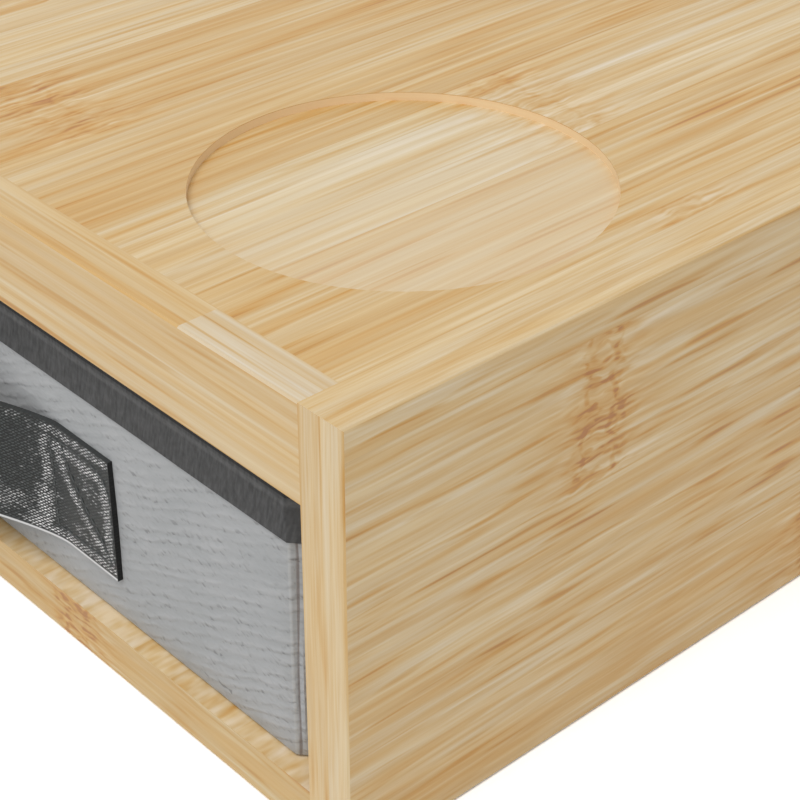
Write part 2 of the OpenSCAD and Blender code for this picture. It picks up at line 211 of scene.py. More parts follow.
# %% Camera
camera_data = bpy.data.cameras.new("camera")
camera_data.lens = 93.01
camera_data.sensor_width = 36
camera_data.clip_start = 0.01
camera = bpy.data.objects.new("camera", camera_data)
bpy.context.scene.collection.objects.link(camera)
camera.location = Vector((373.54, -363.23, 300.03)) * MM
look = Vector((-0.6229, 0.5615, -0.5447))
camera.rotation_euler = look.to_track_quat("-Z", "Y").to_euler()
bpy.context.scene.camera = camera
print("camera at", [round(x, 3) for x in camera.location], "lens", camera_data.lens, "mm")

# %% [markdown]
# ## Light, floor and background
#
# The picture is a studio shot with a pure white ground and soft light. The top is the brightest
# face, the front is a little darker, and the right side is about a fifth darker. A big softbox
# overhead, a little to the front, gives these levels together with a pale sky and floor. The
# white behind the object comes from the world and the floor as the camera sees them, so no
# extra light falls on the object.

# %% World and softbox
# How bright the room is where the camera, mirrors and glass don't see it
ROOM_LEVEL = 0.52
OBJECT_MIDDLE = Vector((0, 0, 0.05))


def seen_directly(tree):
    """1 for the camera, mirrors and glass, 0 for the light that falls on the object."""
    path = add_node(tree, "LightPath")
    seen = add_node(tree, "Math", [path.outputs["Is Camera Ray"], path.outputs["Is Glossy Ray"]],
                    operation="MAXIMUM")
    return add_node(tree, "Math", [seen, path.outputs["Is Transmission Ray"]], operation="MAXIMUM")


scene = bpy.context.scene
scene.view_settings.view_transform = "Standard"
world = bpy.data.worlds.new("white_room")
scene.world = world
world.use_nodes = True
sky = world.node_tree
sky.nodes.clear()
strength = add_node(sky, "Mix", [seen_directly(sky), ROOM_LEVEL, 1.0], data_type="FLOAT")
background = add_node(sky, "Background", [[1, 1, 1, 1], strength])
add_node(sky, "OutputWorld", [background])


def softbox(name, direction, distance, size, power):
    """A square lamp that faces the object from a direction. Sizes are in metres."""
    lamp_data = bpy.data.lights.new(name, "AREA")
    lamp_data.size = size
    lamp_data.energy = power
    lamp = bpy.data.objects.new(name, lamp_data)
    scene.collection.objects.link(lamp)
    aim = Vector(direction).normalized()
    lamp.location = aim * distance + OBJECT_MIDDLE
    lamp.rotation_euler = aim.to_track_quat("Z", "Y").to_euler()
    print(name, "of", power, "W at", [round(x, 2) for x in lamp.location])


softbox("overhead_softbox", (0.16, -0.52, 0.84), distance=2.2, size=1.4, power=25.5)

# %% [markdown]
# The floor is matt and pale. To the camera it is a little brighter than white, so that only the
# shadow close to the object shows, as on a light table. Far from the object the softbox fades,
# so there the floor goes over into plain white.

# %% Floor
# How far the floor lies under the shelf, in mm
FLOOR_DROP = 0.4
# How far from the object the floor starts to turn white, and where it is white, in metres
WHITE_FROM, WHITE_AT = 0.7, 1.4
start_fresh()
bpy.ops.mesh.primitive_plane_add(size=12, location=(0, 0, -FLOOR_DROP * MM))
floor = bpy.context.object
floor.name = "studio_floor"
matt_floor, tree = new_material("matt_white_floor")
paper = add_node(tree, "Mix", [seen_directly(tree), linear("E8E8E8"), [1.5, 1.5, 1.5, 1]],
                 data_type="RGBA")
matt = add_node(tree, "BsdfDiffuse", [paper])
from_object = add_node(tree, "VectorMath", [add_node(tree, "TexCoord").outputs["Object"]],
                       operation="LENGTH").outputs["Value"]
far_off = add_node(tree, "MapRange", [from_object, WHITE_FROM, WHITE_AT, 0.0, 1.0])
far_off = add_node(tree, "Math", [far_off, seen_directly(tree)], operation="MULTIPLY")
white = add_node(tree, "Emission", [[1, 1, 1, 1], 1.0])
add_node(tree, "OutputMaterial", [add_node(tree, "MixShader", [far_off, matt, white])])
floor.data.materials.append(matt_floor)
print("floor of", len(tree.nodes), "nodes,", FLOOR_DROP, "mm under the shelf")

# %% [markdown]
# ## Bamboo
#
# The boards are glued up from bamboo strips 35 mm wide. A stalk of bamboo has no rings: its
# fibres show as thin, straight, dark lines a millimetre or two apart, which fade in and out
# over several centimetres. Where the stalk had a joint, a strip has a knot right across it,
# 10 to 15 mm long, with curled fibres and dark specks. Each strip comes from another stalk, so
# tone and pattern change at every glue line. The lacquer is satin.
#
# The pattern could be painted on a picture. Here it is worked out from the object coordinates,
# so that it has any resolution and keeps its true size. The fibres run another way on each
# board and its ends, so the face's normal first picks which axis runs along the fibres.

# %% Coordinates along and across the grain
# Faces that look along X, Y and Z have the axis numbers 0, 1 and 2. Bounds between them:
LOOKS_SIDEWAYS, LOOKS_UP = 0.5, 1.5


def object_mm(tree):
    """Object coordinates in millimetres."""
    place = add_node(tree, "TexCoord").outputs["Object"]
    return add_node(tree, "VectorMath", {"Vector": place, "Scale": 1 / MM}, operation="SCALE")


def facing(tree):
    """The normal's three parts without their signs."""
    normal = add_node(tree, "TexCoord").outputs["Normal"]
    normal = add_node(tree, "VectorMath", [normal], operation="ABSOLUTE")
    return add_node(tree, "SeparateXYZ", [normal]).outputs


def grain_space(tree, grain, extra=None):
    """For faces that look along X, Y and Z: the axes along and across the grain, as in "YZ".
    extra holds three more numbers for each of them, such as the place of a glue line. Gives a
    vector (along, across, axis number) and the extra numbers, or None."""
    xyz = add_node(tree, "SeparateXYZ", [object_mm(tree)]).outputs
    looks = facing(tree)
    place, values = None, None
    for number, axis in enumerate("XYZ"):
        along, across = ("XYZ".index(a) for a in grain[axis])
        here = add_node(tree, "CombineXYZ", [xyz[along], xyz[across], number])
        if number == 0:
            place, values = here, extra and extra[axis]
            continue
        mask = add_node(tree, "Math", [looks[number], 0.6], operation="GREATER_THAN")
        place = add_node(tree, "Mix", [mask, place, here], data_type="VECTOR")
        if extra:
            values = add_node(tree, "Mix", [mask, values, extra[axis]], data_type="VECTOR")
    return place, values

# %% [markdown]
# The knots need their true places, and some strips their true tone. A colour ramp with hard
# steps is a small lookup table: it takes the number of a strip and gives what is known of it.

# %% Lookup table for strips
STRIPS_PER_AXIS = 16
# How far from the middle of a board a knot may lie, in mm
KNOT_REACH = 200
# No knot, and a middling tone
UNKNOWN_STRIP = (0, 0, 0.5, 1)


def strip_table(tree, key, strips):
    """strips lists (axis number, strip number, place of its knot along the grain in mm or
    None, tone from -0.5, dark, to 0.5, pale). Gives a colour: red is the place from 0 to 1
    over twice KNOT_REACH, green is 1 where there is a knot, and blue is the tone plus 0.5."""
    size = 3 * STRIPS_PER_AXIS
    share = add_node(tree, "Math", [key, 0.5], operation="ADD")
    share = add_node(tree, "Math", [share, size], operation="DIVIDE")
    table = add_node(tree, "ValToRGB", [share])
    ramp = table.color_ramp
    ramp.interpolation = "CONSTANT"
    steps = {0: UNKNOWN_STRIP}
    for axis, strip, along, tone in sorted(strips, key=lambda s: s[:2], reverse=True):
        number = axis * STRIPS_PER_AXIS + strip
        steps.setdefault(number + 1, UNKNOWN_STRIP)
        place = 0 if along is None else (along + KNOT_REACH) / (2 * KNOT_REACH)
        steps[number] = (place, along is not None, 0.5 + tone, 1)
    while len(ramp.elements) > 1:
        ramp.elements.remove(ramp.elements[-1])
    ramp.elements[0].position = 0
    ramp.elements[0].color = steps.pop(0)
    for step in sorted(steps):
        ramp.elements.new(step / size).color = steps[step]
    return table

# %% [markdown]
# Everything in the bamboo is drawn by the same noise, stretched along the grain and squeezed
# across it. A seed moves it, so that no two layers look alike.

# %% Noise along the grain, distances and masks
def stretched_noise(tree, place, along, across, detail=2.0, seed=0.0):
    """Noise whose features are about along by across millimetres."""
    stretch = add_node(tree, "Mapping", {"Vector": place, "Scale": (1 / along, 1 / across, 1),
                                         "Location": (seed, seed * 1.7, seed * 0.3)})
    return add_node(tree, "TexNoise", {"Vector": stretch, "Scale": 1, "Detail": detail,
                                       "Roughness": 0.55}, noise_dimensions="3D")


def apart(tree, value, other):
    """How far two values lie apart."""
    off = add_node(tree, "Math", [value, other], operation="SUBTRACT")
    return add_node(tree, "Math", [off], operation="ABSOLUTE")


def only_where(tree, mask, *tests):
    """The mask, but 0 where a test (value, "LESS_THAN" or "GREATER_THAN", bound) fails."""
    for value, test, bound in tests:
        passed = add_node(tree, "Math", [value, bound], operation=test)
        mask = add_node(tree, "Math", [mask, passed], operation="MULTIPLY")
    return mask

# %% [markdown]
# The strip's number comes first, because all that differs from strip to strip hangs on it. A
# knot is found in the lookup table. Two windows lie round it, a wide one for what the fibres
# do near the knot, and a narrow one for the knot itself. Noise makes their ends ragged.

# %% Strips and knots
# Half the length of each window, from where it starts to show to where it is full, in mm
KNOT_WINDOWS = (24.0, 5.0), (11.0, 4.0)


def number_strips(tree, across, axis, values):
    """The number of the strip at a point, and how far its nearer glue line is, in mm."""
    lap, width, _ = add_node(tree, "SeparateXYZ", [values]).outputs
    offset = add_node(tree, "Math", [across, lap], operation="SUBTRACT")
    strips = add_node(tree, "Math", [offset, width], operation="DIVIDE")
    strip = add_node(tree, "Math", [strips], operation="FLOOR")
    key = add_node(tree, "Math", [axis, STRIPS_PER_AXIS, strip], operation="MULTIPLY_ADD")
    to_edge = add_node(tree, "Math", [strips, 0.5], operation="PINGPONG")
    return key, add_node(tree, "Math", [to_edge, width], operation="MULTIPLY")


def find_knot(tree, place, along, key, known):
    """For a point: how far it lies past its strip's knot in mm, 1 if the strip has a knot, the
    strip's tone, and the wide and the narrow window."""
    knot_at, has_knot, known_tone = add_node(
        tree, "SeparateColor", [strip_table(tree, key, known)]).outputs
    centre = add_node(tree, "Math", [knot_at, 2 * KNOT_REACH, -KNOT_REACH],
                      operation="MULTIPLY_ADD")
    from_knot = add_node(tree, "Math", [along, centre], operation="SUBTRACT")
    ragged = add_node(tree, "Math", [stretched_noise(tree, place, 12, 3.0, 2, 3.1), 14.0, -7.0],
                      operation="MULTIPLY_ADD")
    away = add_node(tree, "Math", [ragged, from_knot], operation="ADD")
    away = add_node(tree, "Math", [away], operation="ABSOLUTE")
    windows = []
    for outer, inner in KNOT_WINDOWS:
        window = add_node(tree, "MapRange", [away, outer, inner, 0.0, 1.0],
                          interpolation_type="SMOOTHSTEP")
        windows.append(add_node(tree, "Math", [window, has_knot], operation="MULTIPLY"))
    return from_knot, has_knot, known_tone, *windows

# %% [markdown]
# Then the fibres. They wander a little everywhere, and bend sharply in a knot, so the
# coordinates are bent before anything is drawn on them. On the bent coordinates lie soft
# bands, streaks, short dark spindles, pale lines and fine fibres.

# %% Fibres
def bend_fibres(tree, place, along, across, in_knot, streak):
    """The places along and across the grain, bent as the fibres are."""
    swings = []
    for source, reach, swing in (
            (stretched_noise(tree, place, streak, 7, 1, 8.4), None, 1.1),
            (stretched_noise(tree, place, 7, 4.5, 1, 8.9), in_knot, 2.6),
            (stretched_noise(tree, place, 9, 6.0, 1, 4.9), in_knot, 6.0)):
        swing_by = add_node(tree, "Math", [source, swing, -swing / 2], operation="MULTIPLY_ADD")
        if reach is not None:
            swing_by = add_node(tree, "Math", [swing_by, reach], operation="MULTIPLY")
        swings.append(swing_by)
    across = add_node(tree, "Math", [across, swings[0]], operation="ADD")
    across = add_node(tree, "Math", [across, swings[1]], operation="ADD")
    return add_node(tree, "Math", [along, swings[2]], operation="ADD"), across


def draw_fibres(tree, place, plain, own_tone, own_contrast, streak, contrast, fine):
    """Draws the layers over the strip's plain level, where 0 is dark and 1 is pale. Gives the
    level, the streaks, the dark spindles and the fine fibres."""
    bands = stretched_noise(tree, place, 2.2 * streak, 5.0, 1.5, 1.3)
    streaks = stretched_noise(tree, place, streak, 1.6, 2.5, 5.9)
    spindles = stretched_noise(tree, place, 0.6 * streak, 1.5, 0.5, 7.3)
    pales = stretched_noise(tree, place, 1.2 * streak, 1.7, 1, 9.2)
    fibres = stretched_noise(tree, place, 0.5 * streak, 0.5, 1, 2.4)
    dark_line = add_node(tree, "MapRange", [spindles, 0.45, 0.22, 0.0, 1.0],
                         interpolation_type="SMOOTHSTEP")
    pale_line = add_node(tree, "MapRange", [pales, 0.54, 0.72, 0.0, 1.0],
                         interpolation_type="SMOOTHSTEP")
    # Each layer swings about 0.5, so half of its weight comes off again
    level = plain
    for layer, weight in ((bands, 0.48 * contrast), (streaks, 0.60 * contrast),
                          (own_tone, 0.10), (fibres, fine * contrast)):
        level = add_node(tree, "Math", [layer, weight, level], operation="MULTIPLY_ADD")
        level = add_node(tree, "Math", [level, -weight / 2], operation="ADD")
    strength = add_node(tree, "Math", [own_contrast, 0.26 * contrast, 0.10 * contrast],
                        operation="MULTIPLY_ADD")
    darker = add_node(tree, "Math", [dark_line, strength], operation="MULTIPLY")
    level = add_node(tree, "Math", [level, darker], operation="SUBTRACT")
    level = add_node(tree, "Math", [pale_line, 0.12, level], operation="MULTIPLY_ADD")
    return level, streaks, dark_line, fibres


def calm_edges(tree, level, plain, axis, fibres, edge_contrast):
    """The level with less contrast on the board's edges, but finer fibres."""
    on_edge = add_node(tree, "Math", [axis, LOOKS_SIDEWAYS], operation="GREATER_THAN")
    left = add_node(tree, "Mix", [on_edge, 1.0, edge_contrast], data_type="FLOAT")
    level = add_node(tree, "Math", [level, plain], operation="SUBTRACT")
    level = add_node(tree, "Math", [level, left, plain], operation="MULTIPLY_ADD")
    thin = add_node(tree, "Math", [fibres, 0.32, -0.16], operation="MULTIPLY_ADD")
    return add_node(tree, "Math", [thin, on_edge, level], operation="MULTIPLY_ADD")

# %% [markdown]
# Round a knot the fibres break into short dashes, and in it lie brown strokes. Two wavy lines
# cross the strip: one of arcs, and one broken into dots.

# %% Marks of a knot
# Each line: its place, how far it swings over how many mm, how long its pieces are, the noise
# between which they fade out, half its width, and a seed
KNOT_LINES = [(3.4, 9.0, 6.0, 3.0, (0.36, 0.50), 1.2, 4.4),
              (-4.4, 7.0, 5.0, 1.7, (0.50, 0.62), 1.1, 9.9)]


def knot_lines(tree, place, from_knot, has_knot):
    """A mask of the two wavy lines."""
    marks = 0.0
    for middle, swing, pitch, piece, fade, wide, seed in KNOT_LINES:
        wave = stretched_noise(tree, place, 60, pitch, 1, seed)
        line = add_node(tree, "Math", [wave, -swing, from_knot], operation="MULTIPLY_ADD")
        line = add_node(tree, "Math", [line, swing / 2 - middle], operation="ADD")
        line = add_node(tree, "Math", [line], operation="ABSOLUTE")
        line = add_node(tree, "MapRange", [line, wide, 0.2, 0.0, 1.0],
                        interpolation_type="SMOOTHSTEP")
        broken = stretched_noise(tree, place, 4.0, piece, 0, seed + 2)
        broken = add_node(tree, "MapRange", [broken, *fade, 0.0, 1.0])
        for part in (broken, has_knot):
            line = add_node(tree, "Math", [line, part], operation="MULTIPLY")
        marks = add_node(tree, "Math", [marks, line], operation="MAXIMUM")
    return marks


def draw_knot(tree, level, bent_place, near_knot, in_knot, marks, marked):
    """Darkens the level by a knot's dashes, strokes and lines."""
    dashes = add_node(tree, "Math", [stretched_noise(tree, bent_place, 7, 1.0, 0.5, 6.6), 0.7,
                                     -0.35], operation="MULTIPLY_ADD")
    strokes = add_node(tree, "MapRange", [stretched_noise(tree, bent_place, 3.0, 1.1, 0.5, 3.3),
                                          0.54, 0.30, 0.0, 1.0], interpolation_type="SMOOTHSTEP")
    strokes = add_node(tree, "Math", [strokes, in_knot], operation="MULTIPLY")
    for part, weight in ((dashes, near_knot), (strokes, -1.2 * marked), (marks, -marked),
                         (in_knot, -0.25 * marked)):
        level = add_node(tree, "Math", [part, weight, level], operation="MULTIPLY_ADD")
    return level

# %% [markdown]
# The glue shows as a thin dark line that comes and goes. The cup recess is cut 2 mm into the
# top. Its floor is paler than the rest, and most so in the strips to the right of one glue
# line. Its wall is paler too, by painted light that lifts it out of the recess's shade.

# %% Glue lines
def glue_lines(tree, place, edge_mm):
    """A mask of the glue lines."""
    glue = add_node(tree, "MapRange", [edge_mm, 0.45, 0.1, 0.0, 1.0],
                    interpolation_type="SMOOTHSTEP")
    comes = add_node(tree, "MapRange", [stretched_noise(tree, place, 60, 400, 1, 7.7), 0.4, 0.62,
                                        0.15, 1.0], interpolation_type="SMOOTHSTEP")
    return add_node(tree, "Math", [glue, comes], operation="MULTIPLY")

# %% Cup recess
CUP_X, CUP_Y, CUP_RADIUS = 88.4, -105.3, 45.15
# The recess lies between these heights, and its palest strips start at this glue line, in mm
CUP_LOW, CUP_HIGH, PALE_FROM = 101.5, 103.9, 61.5


def shade_by_cup(tree, across, axis, streaks):
    """How much darker the strip beside the palest ones is, close to its glue line."""
    shade = add_node(tree, "MapRange", [across, PALE_FROM - 10, PALE_FROM - 2, 0.0, 0.24],
                     interpolation_type="SMOOTHSTEP")
    shade = only_where(tree, shade, (across, "LESS_THAN", PALE_FROM),
                       (axis, "GREATER_THAN", LOOKS_UP))
    return add_node(tree, "Math", [shade, streaks], operation="MULTIPLY")


def colour_cup(tree, colour):
    """The colour, paler in the cup recess, and on its wall paler still by painted light."""
    x, y, z = add_node(tree, "SeparateXYZ", [object_mm(tree)]).outputs
    flat = add_node(tree, "CombineXYZ", [x, y, 0.0])
    reach = add_node(tree, "VectorMath", [flat, (CUP_X, CUP_Y, 0)], operation="DISTANCE")
    mask = add_node(tree, "Math", [reach.outputs["Value"], CUP_RADIUS], operation="LESS_THAN")
    mask = only_where(tree, mask, (z, "GREATER_THAN", CUP_LOW), (z, "LESS_THAN", CUP_HIGH))
    palest = add_node(tree, "Math", [x, PALE_FROM], operation="GREATER_THAN")
    lift = add_node(tree, "Mix", [palest, [1.01, 1.02, 1.04, 1], [1.02, 1.065, 1.14, 1]],
                    data_type="RGBA")
    floor_colour = add_node(tree, "Mix", [1.0, colour, lift], data_type="RGBA",
                            blend_type="MULTIPLY")
    fainter = add_node(tree, "MapRange", [x, PALE_FROM, PALE_FROM + 45, 0.0, 0.4])
    floor_colour = add_node(tree, "Mix", [fainter, floor_colour, linear("DFCDB0")],
                            data_type="RGBA")
    # The wall is painted paler: painted light where the recess shades it
    wall = add_node(tree, "Math", [facing(tree)[2], 0.5], operation="LESS_THAN")
    painted_light_wall = add_node(tree, "Mix", [0.8, colour, linear("F8DDB4")], data_type="RGBA")
    cup_colour = add_node(tree, "Mix", [wall, floor_colour, painted_light_wall], data_type="RGBA")
    return add_node(tree, "Mix", [mask, colour, cup_colour], data_type="RGBA")

# %% [markdown]
# One ramp turns the level into wood, from dark to pale bamboo. Tints then multiply it: some
# parts of a strip are warmer than others, and a knot is browner.

# %% Colours of bamboo
BAMBOO = [(0.04, "B0763C"), (0.25, "C7964C"), (0.5, "D1B07A"), (0.7, "DAC39A"), (0.92, "E4D4BA")]
COOLER, WARMER = [0.985, 1.005, 1.06, 1], [1.015, 0.995, 0.94, 1]
KNOT_TINT, PALE_PIECE = [1.0, 0.96, 0.9, 1], [0.985, 1.05, 1.24, 1]
# The lip of the bottom panel: the tint of its front edge, and of its top
LIP_FRONT, LIP_TOP = [0.965, 1.02, 1.06, 1], [1.045, 0.99, 0.91, 1]


def bamboo_colour(tree, level, tints):
    """The ramp's colour at a level, multiplied by tints, each a share and a colour."""
    colour = add_node(tree, "ValToRGB", [level])
    ramp = colour.color_ramp
    for position, code in BAMBOO:
        ramp.elements.new(position).color = linear(code)
    ramp.elements.remove(ramp.elements[-1])
    ramp.elements.remove(ramp.elements[0])
    for share, tint in tints:
        colour = add_node(tree, "Mix", [share, colour, tint], data_type="RGBA",
                          blend_type="MULTIPLY")
    return colour

# %% [markdown]
# Now the material itself puts these together, with a little relief under a satin lacquer.

# %% Laminated bamboo
def bamboo(name, grain, laps, known=(), cup=False, pale_end=None, tone=0.0, streak=50,
           contrast=1.0, fine=0.22, marked=0.20, lip_scale=1.0, edge_contrast=1.0):
    """grain: for faces that look along X, Y and Z, the axes along and across the fibres.
    laps: for the same faces, the place of a glue line and the width of a strip, in mm.
    known: strips as in strip_table. cup: whether the board holds the cup recess. pale_end:
    where a paler piece starts on the top edge. tone: how much paler the whole board is.
    streak: how long a streak is in mm, and contrast how strongly it shows. fine: how strongly
    single fibres show. marked: how dark the lines in a knot are. lip_scale: how many times
    wider the fibres of faces that look up are drawn. edge_contrast: how much of the contrast
    is left on faces that don't look along X."""
    material, tree = new_material(name)
    place, values = grain_space(tree, grain, {axis: (*laps[axis], 0) for axis in "XYZ"})
    along, across, axis = add_node(tree, "SeparateXYZ", [place]).outputs
    key, edge_mm = number_strips(tree, across, axis, values)
    piece_number = key
    if pale_end is not None:
        pale_mask = add_node(tree, "Math", [along, pale_end], operation="GREATER_THAN")
        pale_mask = only_where(tree, pale_mask, (axis, "GREATER_THAN", LOOKS_UP))
        piece_number = add_node(tree, "Math", [pale_mask, 7.0, key], operation="MULTIPLY_ADD")
    chance = add_node(tree, "TexWhiteNoise", {"W": piece_number}, noise_dimensions="1D")
    own_tone, own_contrast, own_shift = add_node(
        tree, "SeparateColor", [chance.outputs["Color"]]).outputs
    from_knot, has_knot, known_tone, near_knot, in_knot = find_knot(
        tree, place, along, key, known)

    if lip_scale != 1.0:
        looks_up = add_node(tree, "Math", [axis, LOOKS_UP], operation="GREATER_THAN")
        narrower = add_node(tree, "Mix", [looks_up, 1.0, 1 / lip_scale], data_type="FLOAT")
        across = add_node(tree, "Math", [across, narrower], operation="MULTIPLY")
    bent_along, bent_across = bend_fibres(tree, place, along, across, in_knot, streak)
    # Each strip is cut from another place of the noise, so its fibres are its own
    layer = add_node(tree, "Math", [piece_number, 3.7], operation="MULTIPLY")
    shifted = add_node(tree, "Math", [own_shift, 900.0, bent_along], operation="MULTIPLY_ADD")
    fibre_place = add_node(tree, "CombineXYZ", [shifted, bent_across, layer])
    plain = add_node(tree, "Math", [known_tone, 1.0, tone + 0.03], operation="MULTIPLY_ADD")
    level, streaks, dark_line, fibres = draw_fibres(
        tree, fibre_place, plain, own_tone, own_contrast, streak, contrast, fine)
    if edge_contrast != 1.0:
        level = calm_edges(tree, level, plain, axis, fibres, edge_contrast)
    if lip_scale != 1.0:
        blobs = stretched_noise(tree, place, 6, 2.6, 1, 6.9)
        blobs = add_node(tree, "Math", [blobs, 0.95, -0.475], operation="MULTIPLY_ADD")
        blobs = add_node(tree, "Math", [blobs, looks_up], operation="MULTIPLY")
        level = add_node(tree, "Math", [level, blobs], operation="ADD")

    bent_place = add_node(tree, "CombineXYZ", [bent_along, bent_across, layer])
    marks = knot_lines(tree, place, from_knot, has_knot)
    level = draw_knot(tree, level, bent_place, near_knot, in_knot, marks, marked)
    level = add_node(tree, "Math", [glue_lines(tree, place, edge_mm), -0.20, level],
                     operation="MULTIPLY_ADD")
    if cup:
        shade = shade_by_cup(tree, across, axis, streaks)
        level = add_node(tree, "Math", [level, shade], operation="SUBTRACT")
    if pale_end is not None:
        level = add_node(tree, "Math", [pale_mask, 0.08, level], operation="MULTIPLY_ADD")

    warmth = add_node(tree, "MapRange", [stretched_noise(tree, fibre_place, 1.4 * streak, 3.5, 1,
                                                         12.1), 0.38, 0.62, 0.0, 1.0])
    warm = add_node(tree, "Mix", [warmth, COOLER, WARMER], data_type="RGBA")
    tints = [(1.0, warm), (near_knot, KNOT_TINT)]
    if lip_scale != 1.0:
        tints.append((1.0, add_node(tree, "Mix", [looks_up, LIP_FRONT, LIP_TOP],
                                    data_type="RGBA")))
    if pale_end is not None:
        tints.append((pale_mask, PALE_PIECE))
    colour = bamboo_colour(tree, level, tints)
    if cup:
        colour = colour_cup(tree, colour)

    relief = add_node(tree, "Math", [dark_line, -0.5, fibres], operation="MULTIPLY_ADD")
    relief = add_node(tree, "Math", [marks, -0.8, relief], operation="MULTIPLY_ADD")
    gloss = add_node(tree, "MapRange", [fibres, 0.3, 0.7, 0.40, 0.52])
    finish_material(tree, colour, gloss, relief, 0.35, 0.08, {"IOR": 1.5})
    print(name, "has", len([s for s in known if s[2] is not None]), "knots and",
          len(tree.nodes), "nodes")
    return material

# %% [markdown]
# Each board gets its own bamboo, because the fibres run another way. The strips of the top and
# of the right side have their glue lines and knots where the photograph shows them.

# %% The six boards
dress("top_panel", bamboo(
    "bamboo_top", {"X": "YZ", "Y": "XZ", "Z": "YX"},
    {"X": (92, 6), "Y": (92, 6), "Z": (-148.5, 35)},
    [(2, 8, -70, 0.02), (2, 7, 62, -0.01), (2, 6, -57, 0.10), (2, 5, 108, -0.07),
     (2, 4, -139, -0.10), (2, 3, 24, 0.07), (2, 2, -96, 0.0), (2, 1, 131, -0.03),
     (2, 0, -12, 0.05)], cup=True, streak=75, contrast=1.1, marked=0.08))
side_bamboo = bamboo(
    "bamboo_side", {"X": "YZ", "Y": "ZX", "Z": "YX"},
    {"X": (-8, 35), "Y": (138, 6), "Z": (138, 6)},
    [(0, 3, 120, 0.0), (0, 2, -109, 0.0), (0, 1, 66, 0.02), (0, 0, -30, -0.04),
     (1, 0, None, 0.03), (1, 1, None, 0.09), (2, 0, None, 0.07), (2, 1, None, 0.08)],
    streak=38, contrast=1.25, fine=0.12, marked=0.22, edge_contrast=0.5)
dress("right_side_panel", side_bamboo)
dress("left_side_panel", side_bamboo)
# Strips 4 to 7 that look up: pale strips, made paler still by painted light on the lip in the
# rail's shade
dress("bottom_panel", bamboo(
    "bamboo_bottom", {"X": "YZ", "Y": "XZ", "Z": "YX"},
    {"X": (0, 6), "Y": (-6, 24), "Z": (-131, 35)},
    [(1, 0, 57.5, -0.05), (2, 1, -40, 0.0), (2, 3, 90, 0.0), (2, 4, -120, 0.22),
     (2, 5, None, 0.25), (2, 6, 30, 0.24), (2, 7, -75, 0.26)], tone=-0.06, streak=32,
    contrast=0.62, fine=0.13, marked=0.26, lip_scale=1.5))
dress("front_rail", bamboo(
    "bamboo_rail", {"X": "YZ", "Y": "XZ", "Z": "XY"},
    {"X": (82, 22), "Y": (82, 22.2), "Z": (-172.7, 3.7)}, [(1, 0, -62, 0.0)], pale_end=103.3,
    streak=70, contrast=0.85))
dress("back_panel", bamboo(
    "bamboo_back", {"X": "YZ", "Y": "XZ", "Z": "XY"},
    {"X": (12, 40), "Y": (-8, 35), "Z": (165, 5)},
    [(1, 0, 40, 0.0), (1, 1, -70, 0.0), (1, 2, 95, 0.0)]))

# %% [markdown]
# ## Drawer cloth
#
# The drawer is a tub of grey polypropylene felt, pressed with a coarse linen look: soft low
# ripples about 2.6 mm apart that rise to the right. Short dents about 1 mm long lie on their
# lower sides and slant the other way; painted shade darkens them. The cloth is matt. A row of
# soft hills that noise bends and breaks up gives the ripples; they are relief, so they are drawn
# as bump, with only a trace of colour: painted light that makes their tops a little paler.

# %% Ripples and dents
RIPPLE_PITCH = 2.6
# How far the ripples and the dents turn from level, in degrees
RIPPLE_TURN, DENT_TURN = -24, 17


def wall_space(tree):
    """Along and up each wall of the drawer, in millimetres."""
    return grain_space(tree, {"X": "YZ", "Y": "XZ", "Z": "XY"})[0]


def turned_by(tree, place, degrees):
    """The same place in a pattern that is turned on the wall."""
    return add_node(tree, "Mapping", {"Vector": place,
                                      "Rotation": (0, 0, math.radians(degrees))})


def press_cloth(tree, place):
    """The height of the ripples, and how deep the dents are, both from 0 to 1."""
    turned = turned_by(tree, place, RIPPLE_TURN)
    row = add_node(tree, "Math", [add_node(tree, "SeparateXYZ", [turned]).outputs[1],
                                  1 / RIPPLE_PITCH], operation="MULTIPLY")
    for long, wide, swing, seed in ((17, 6, 1.0, 2.2), (3.6, 2.0, 0.6, 3.7)):
        bent = stretched_noise(tree, turned, long, wide, 1, seed)
        row = add_node(tree, "Math", [bent, swing, row], operation="MULTIPLY_ADD")
    in_row = add_node(tree, "Math", [row], operation="FRACT")
    rise, fall = (add_node(tree, "MapRange", [in_row, *steps], interpolation_type="SMOOTHSTEP")
                  for steps in ((0.0, 0.4, 0.0, 1.0), (0.4, 1.0, 1.0, 0.0)))
    strong = add_node(tree, "MapRange", [stretched_noise(tree, turned, 7, 3, 1, 5.2), 0.35, 0.65,
                                         0.2, 0.85])
    dashed = turned_by(tree, place, DENT_TURN)
    dent = add_node(tree, "MapRange", [stretched_noise(tree, dashed, 1.5, 0.65, 0, 4.7), 0.42,
                                       0.28, 0.0, 1.0], interpolation_type="SMOOTHSTEP")
    on_side = add_node(tree, "MapRange", [in_row, 0.55, 0.2, 0.25, 1.0])
    ripples = add_node(tree, "Math", [rise, fall], operation="MULTIPLY")
    dent = add_node(tree, "Math", [dent, on_side], operation="MULTIPLY")
    ripples, dent = (add_node(tree, "Math", [part, strong], operation="MULTIPLY")
                     for part in (ripples, dent))
    return ripples, dent

# %% [markdown]
# The photograph shows two more marks. A short crease runs across the right of the drawer's
# front, low down, drawn with painted shade. On the cut of each front corner a painted highlight
# lies by its edge, and a warm painted shade in its groove. The groove's own shape is made with
# the outer skin, further down.

# %% Crease and corners
# Half the drawer's width, and the size of its corners' cut, in mm
DRAWER_X, DRAWER_CORNER = 135.0, 6.6
# The groove in the cut of a front corner: its place across the cut at two heights, in mm
GROOVE_HEIGHTS, GROOVE_PLACES = (27.0, 62.0), (1.25, 1.8)
# The crease: its two ends and its middle height, in mm, and how steeply it falls
CREASE_X, CREASE_Z, CREASE_FALL = (97.0, 108.0), 15.6, 0.08
# Only what lies in front of these depths gets the crease and the corners' painted light and shade,
# in mm
CREASE_Y, CORNER_Y = -165.0, -168.0


